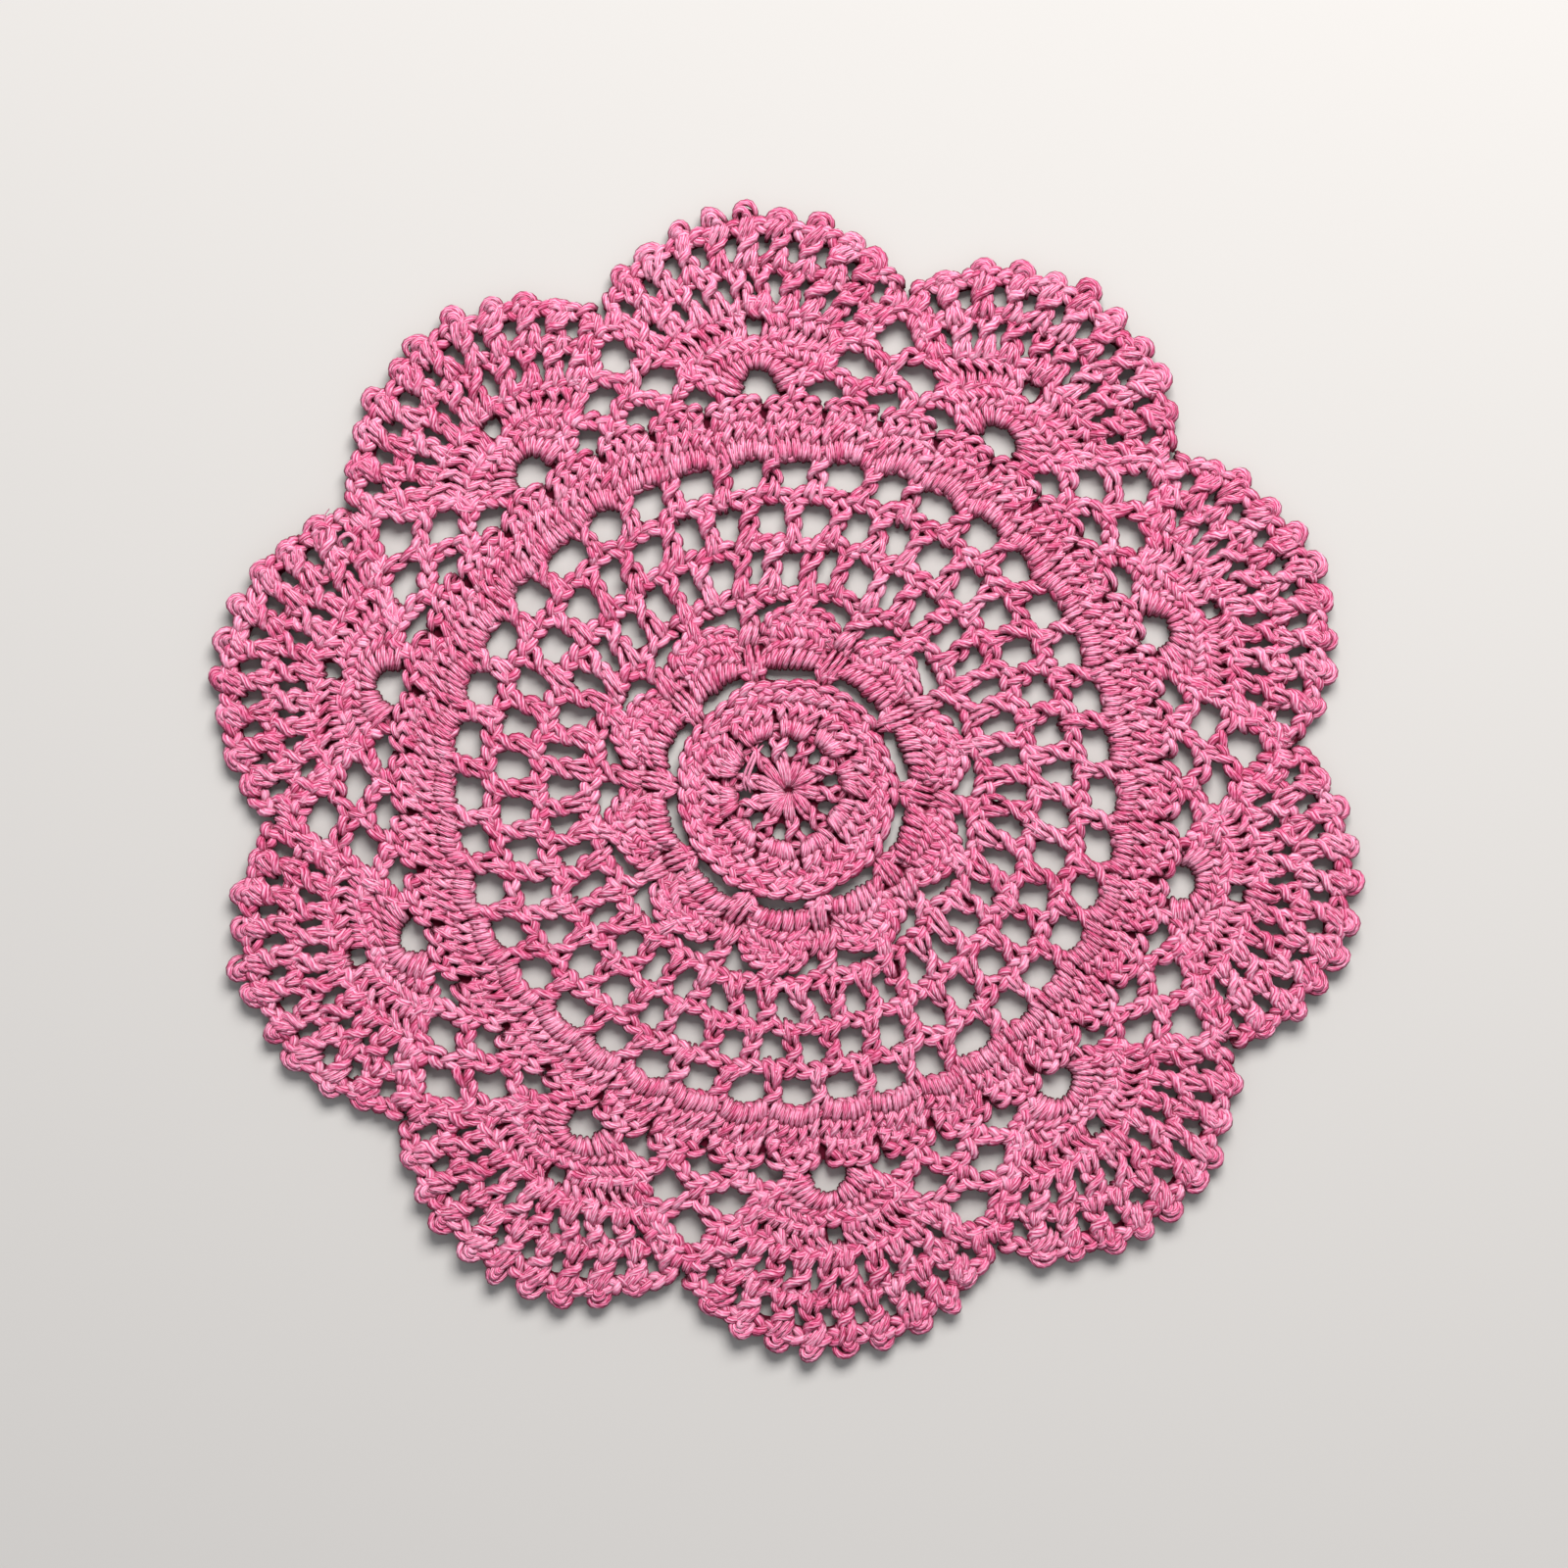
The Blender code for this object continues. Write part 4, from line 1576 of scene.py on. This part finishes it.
@dataclass(frozen=True)
class CottonFinish:
    """Pink cotton yarn: matt with a soft sheen, painted paler on the plies' crests and darker in the grooves
    between them, as painted highlight and painted shade mixed with random fibre streaks and per-strand tone,
    and painted darker again as shade where the yarn sits low.
    """

    name: str
    # colours: painted shade in the grooves between plies, the yarn's own pink, a painted highlight on the
    # crests, and the painted shade that the lie value mixes in
    groove_shade: tuple = (0.36, 0.016, 0.070, 1.0)
    body: tuple = (0.80, 0.140, 0.305, 1.0)
    crest_highlight: tuple = (1.0, 0.50, 0.68, 1.0)
    shade: tuple = (0.15, 0.003, 0.018, 1.0)
    ply_share: float = 0.42
    fibre_share: float = 1.30
    tone_share: float = 0.18
    offset: float = -0.45
    stops: tuple = (0.14, 0.45, 0.82)
    relief: float = 0.8
    bump: float = 0.17
    roughness: float = 0.85
    gloss: float = 0.10
    sheen: float = 0.06
    sheen_roughness: float = 0.5
    sheen_tint: tuple = (1.0, 0.60, 0.75, 1.0)

    def material(self, fibres: bpy.types.ShaderNodeTree) -> bpy.types.Material:
        """Make the yarn's material.

        Args:
            fibres: the node group of plies and fibres.

        Returns:
            The material.
        """
        finish = bpy.data.materials.new(self.name)
        finish.use_nodes = True
        nodes, links = finish.node_tree.nodes, finish.node_tree.links
        shader = nodes["Principled BSDF"]
        wrap = nodes.new("ShaderNodeUVMap")
        wrap.uv_map = "yarn"
        group = nodes.new("ShaderNodeGroup")
        group.node_tree = fibres
        links.new(wrap.outputs[0], group.inputs["Wrap"])
        tone = nodes.new("ShaderNodeAttribute")
        tone.attribute_name = "tone"
        height = None
        for socket, share in (
            (group.outputs["Ply"], self.ply_share),
            (group.outputs["Fibre"], self.fibre_share),
            (tone.outputs["Fac"], self.tone_share),
        ):
            added = nodes.new("ShaderNodeMath")
            added.operation = "MULTIPLY_ADD"
            links.new(socket, added.inputs[0])
            added.inputs[1].default_value = share
            if height is None:
                added.inputs[2].default_value = self.offset
            else:
                links.new(height, added.inputs[2])
            height = added.outputs[0]
        # Painted highlight and painted shade: the ramp paints the plies' crests paler and the grooves
        # between them darker, along with random fibre streaks and per-strand tone
        streaks = nodes.new("ShaderNodeValToRGB")
        ramp = streaks.color_ramp
        ramp.elements[0].position = self.stops[0]
        ramp.elements[0].color = self.groove_shade
        ramp.elements[1].position = self.stops[2]
        ramp.elements[1].color = self.crest_highlight
        middle = ramp.elements.new(self.stops[1])
        middle.color = self.body
        links.new(height, streaks.inputs["Fac"])
        # Painted shade: the lie value mixes the dark shade colour over the streaks where the yarn sits low
        # or faces sideways
        lie = nodes.new("ShaderNodeAttribute")
        lie.attribute_name = "lie"
        shaded = nodes.new("ShaderNodeMix")
        shaded.data_type = "RGBA"
        links.new(lie.outputs["Fac"], shaded.inputs["Factor"])
        shaded.inputs[6].default_value = self.shade
        links.new(streaks.outputs["Color"], shaded.inputs[7])
        links.new(shaded.outputs[2], shader.inputs["Base Color"])
        relief = nodes.new("ShaderNodeBump")
        relief.inputs["Strength"].default_value = self.relief
        relief.inputs["Distance"].default_value = self.bump * MM
        links.new(height, relief.inputs["Height"])
        links.new(relief.outputs["Normal"], shader.inputs["Normal"])
        shader.inputs["Roughness"].default_value = self.roughness
        shader.inputs["Specular IOR Level"].default_value = self.gloss
        shader.inputs["Sheen Weight"].default_value = self.sheen
        shader.inputs["Sheen Roughness"].default_value = self.sheen_roughness
        shader.inputs["Sheen Tint"].default_value = self.sheen_tint
        return finish


@dataclass(frozen=True)
class GroundShadeFinish:
    """Painted shade for the ground sheet: the dark of the shaded cotton deep between the stitches."""

    name: str = "cotton_in_shade"
    dark: tuple = (0.045, 0.002, 0.009, 1.0)
    pale: tuple = (0.13, 0.006, 0.024, 1.0)
    grain: float = 900.0
    detail: float = 3.0
    bump: float = 0.1
    roughness: float = 0.9
    gloss: float = 0.1

    def material(self) -> bpy.types.Material:
        """Make the ground's material, with a fine fleck in object space."""
        finish = bpy.data.materials.new(self.name)
        finish.use_nodes = True
        nodes, links = finish.node_tree.nodes, finish.node_tree.links
        shader = nodes["Principled BSDF"]
        where = nodes.new("ShaderNodeTexCoord")
        noise = nodes.new("ShaderNodeTexNoise")
        noise.inputs["Scale"].default_value = self.grain
        noise.inputs["Detail"].default_value = self.detail
        links.new(where.outputs["Object"], noise.inputs["Vector"])
        ramp = nodes.new("ShaderNodeValToRGB")
        ramp.color_ramp.elements[0].color = self.dark
        ramp.color_ramp.elements[1].color = self.pale
        links.new(noise.outputs[0], ramp.inputs["Fac"])
        links.new(ramp.outputs["Color"], shader.inputs["Base Color"])
        relief = nodes.new("ShaderNodeBump")
        relief.inputs["Distance"].default_value = self.bump * MM
        links.new(noise.outputs[0], relief.inputs["Height"])
        links.new(relief.outputs["Normal"], shader.inputs["Normal"])
        shader.inputs["Roughness"].default_value = self.roughness
        shader.inputs["Specular IOR Level"].default_value = self.gloss
        return finish


@dataclass
class Studio:
    """A plain pale floor, soft light from the top of the picture, and a camera straight above."""

    view_width: float = 0.336
    camera_height: float = 0.85
    sensor: float = 36.0
    middle: tuple = (-0.00063, 0.00105)
    floor_size: float = 3.0
    floor_height: float = -0.0002
    floor_colour: tuple = (0.60, 0.58, 0.56, 1.0)
    floor_roughness: float = 0.8
    light_size: tuple = (0.9, 0.6)
    light_energy: float = 24.0
    light_colour: tuple = (1.0, 0.985, 0.97)
    light_place: tuple = (0.22, 0.85, 0.95)
    light_turn: tuple = (-42.0, 9.0, 0.0)
    sky_colour: tuple = (0.93, 0.96, 1.0, 1.0)
    sky_strength: float = 0.35

    def build(self) -> None:
        """Set the floor, the lights and the camera, and show plain colours."""
        bpy.context.scene.view_settings.view_transform = "Standard"
        self.floor()
        self.lights()
        self.camera()

    def floor(self) -> None:
        """Lay the floor just under the doily."""
        bpy.ops.mesh.primitive_plane_add(size=self.floor_size, location=(0.0, 0.0, self.floor_height))
        floor = bpy.context.object
        floor.name = "studio_floor"
        paint = bpy.data.materials.new("floor_paint")
        paint.use_nodes = True
        shader = paint.node_tree.nodes["Principled BSDF"]
        shader.inputs["Base Color"].default_value = self.floor_colour
        shader.inputs["Roughness"].default_value = self.floor_roughness
        floor.data.materials.append(paint)

    def lights(self) -> None:
        """Hang one large soft light beyond the top of the picture, and fill in with the sky."""
        light = bpy.data.lights.new("window_light", "AREA")
        light.shape = "RECTANGLE"
        light.size, light.size_y = self.light_size
        light.energy = self.light_energy
        light.color = self.light_colour
        lamp = bpy.data.objects.new("window_light", light)
        lamp.location = self.light_place
        lamp.rotation_euler = [math.radians(angle) for angle in self.light_turn]
        bpy.context.scene.collection.objects.link(lamp)
        world = bpy.data.worlds.new("studio_sky")
        world.use_nodes = True
        sky = world.node_tree.nodes["Background"]
        sky.inputs["Color"].default_value = self.sky_colour
        sky.inputs["Strength"].default_value = self.sky_strength
        bpy.context.scene.world = world

    def camera(self) -> None:
        """Look straight down, framed as the photograph is."""
        lens = bpy.data.cameras.new("camera")
        lens.sensor_width = self.sensor
        lens.lens = self.sensor * self.camera_height / self.view_width
        eye = bpy.data.objects.new("camera", lens)
        eye.location = (self.middle[0], self.middle[1], self.camera_height)
        bpy.context.scene.collection.objects.link(eye)
        bpy.context.scene.camera = eye


def main() -> None:
    """Work the doily round by round, declare its pieces and set the studio."""
    logging.basicConfig(level=logging.INFO, format="%(name)s: %(message)s")
    hands = HandWork()
    fibres = fibre_group()
    cotton = CottonFinish("pink_cotton_yarn").material(fibres)
    groups = {
        name: YarnWork(name, hands, seed=seed)
        for seed, name in enumerate(
            ("doily_middle", "doily_inner_shells", "doily_net", "doily_shell_band",
             "doily_loops", "doily_fans", "doily_petals", "doily_rim", "doily_loose_ends"), start=11
        )
    }
    Middle().build(groups["doily_middle"])
    InnerShells().build(groups["doily_inner_shells"])
    Net().build(groups["doily_net"])
    ShellBand().build(groups["doily_shell_band"])
    ChainLoops().build(groups["doily_loops"])
    Petals().build(groups["doily_fans"], groups["doily_petals"], groups["doily_rim"])
    LooseEnds().build(groups["doily_loose_ends"])
    pieces = [group.finish(cotton) for group in groups.values()]
    ground = Ground()
    sheet = ground.build(hands, GroundShadeFinish().material())
    for piece in pieces + [sheet]:
        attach(piece, BODY)
    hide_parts(CAD_NODE)
    Studio().build()
    bpy.context.view_layer.update()
    yarn = sum(group.length for group in groups.values()) * MM
    log.info("yarn laid: %.1f m in %d groups", yarn, len(groups))


if __name__ == "__main__":
    main()
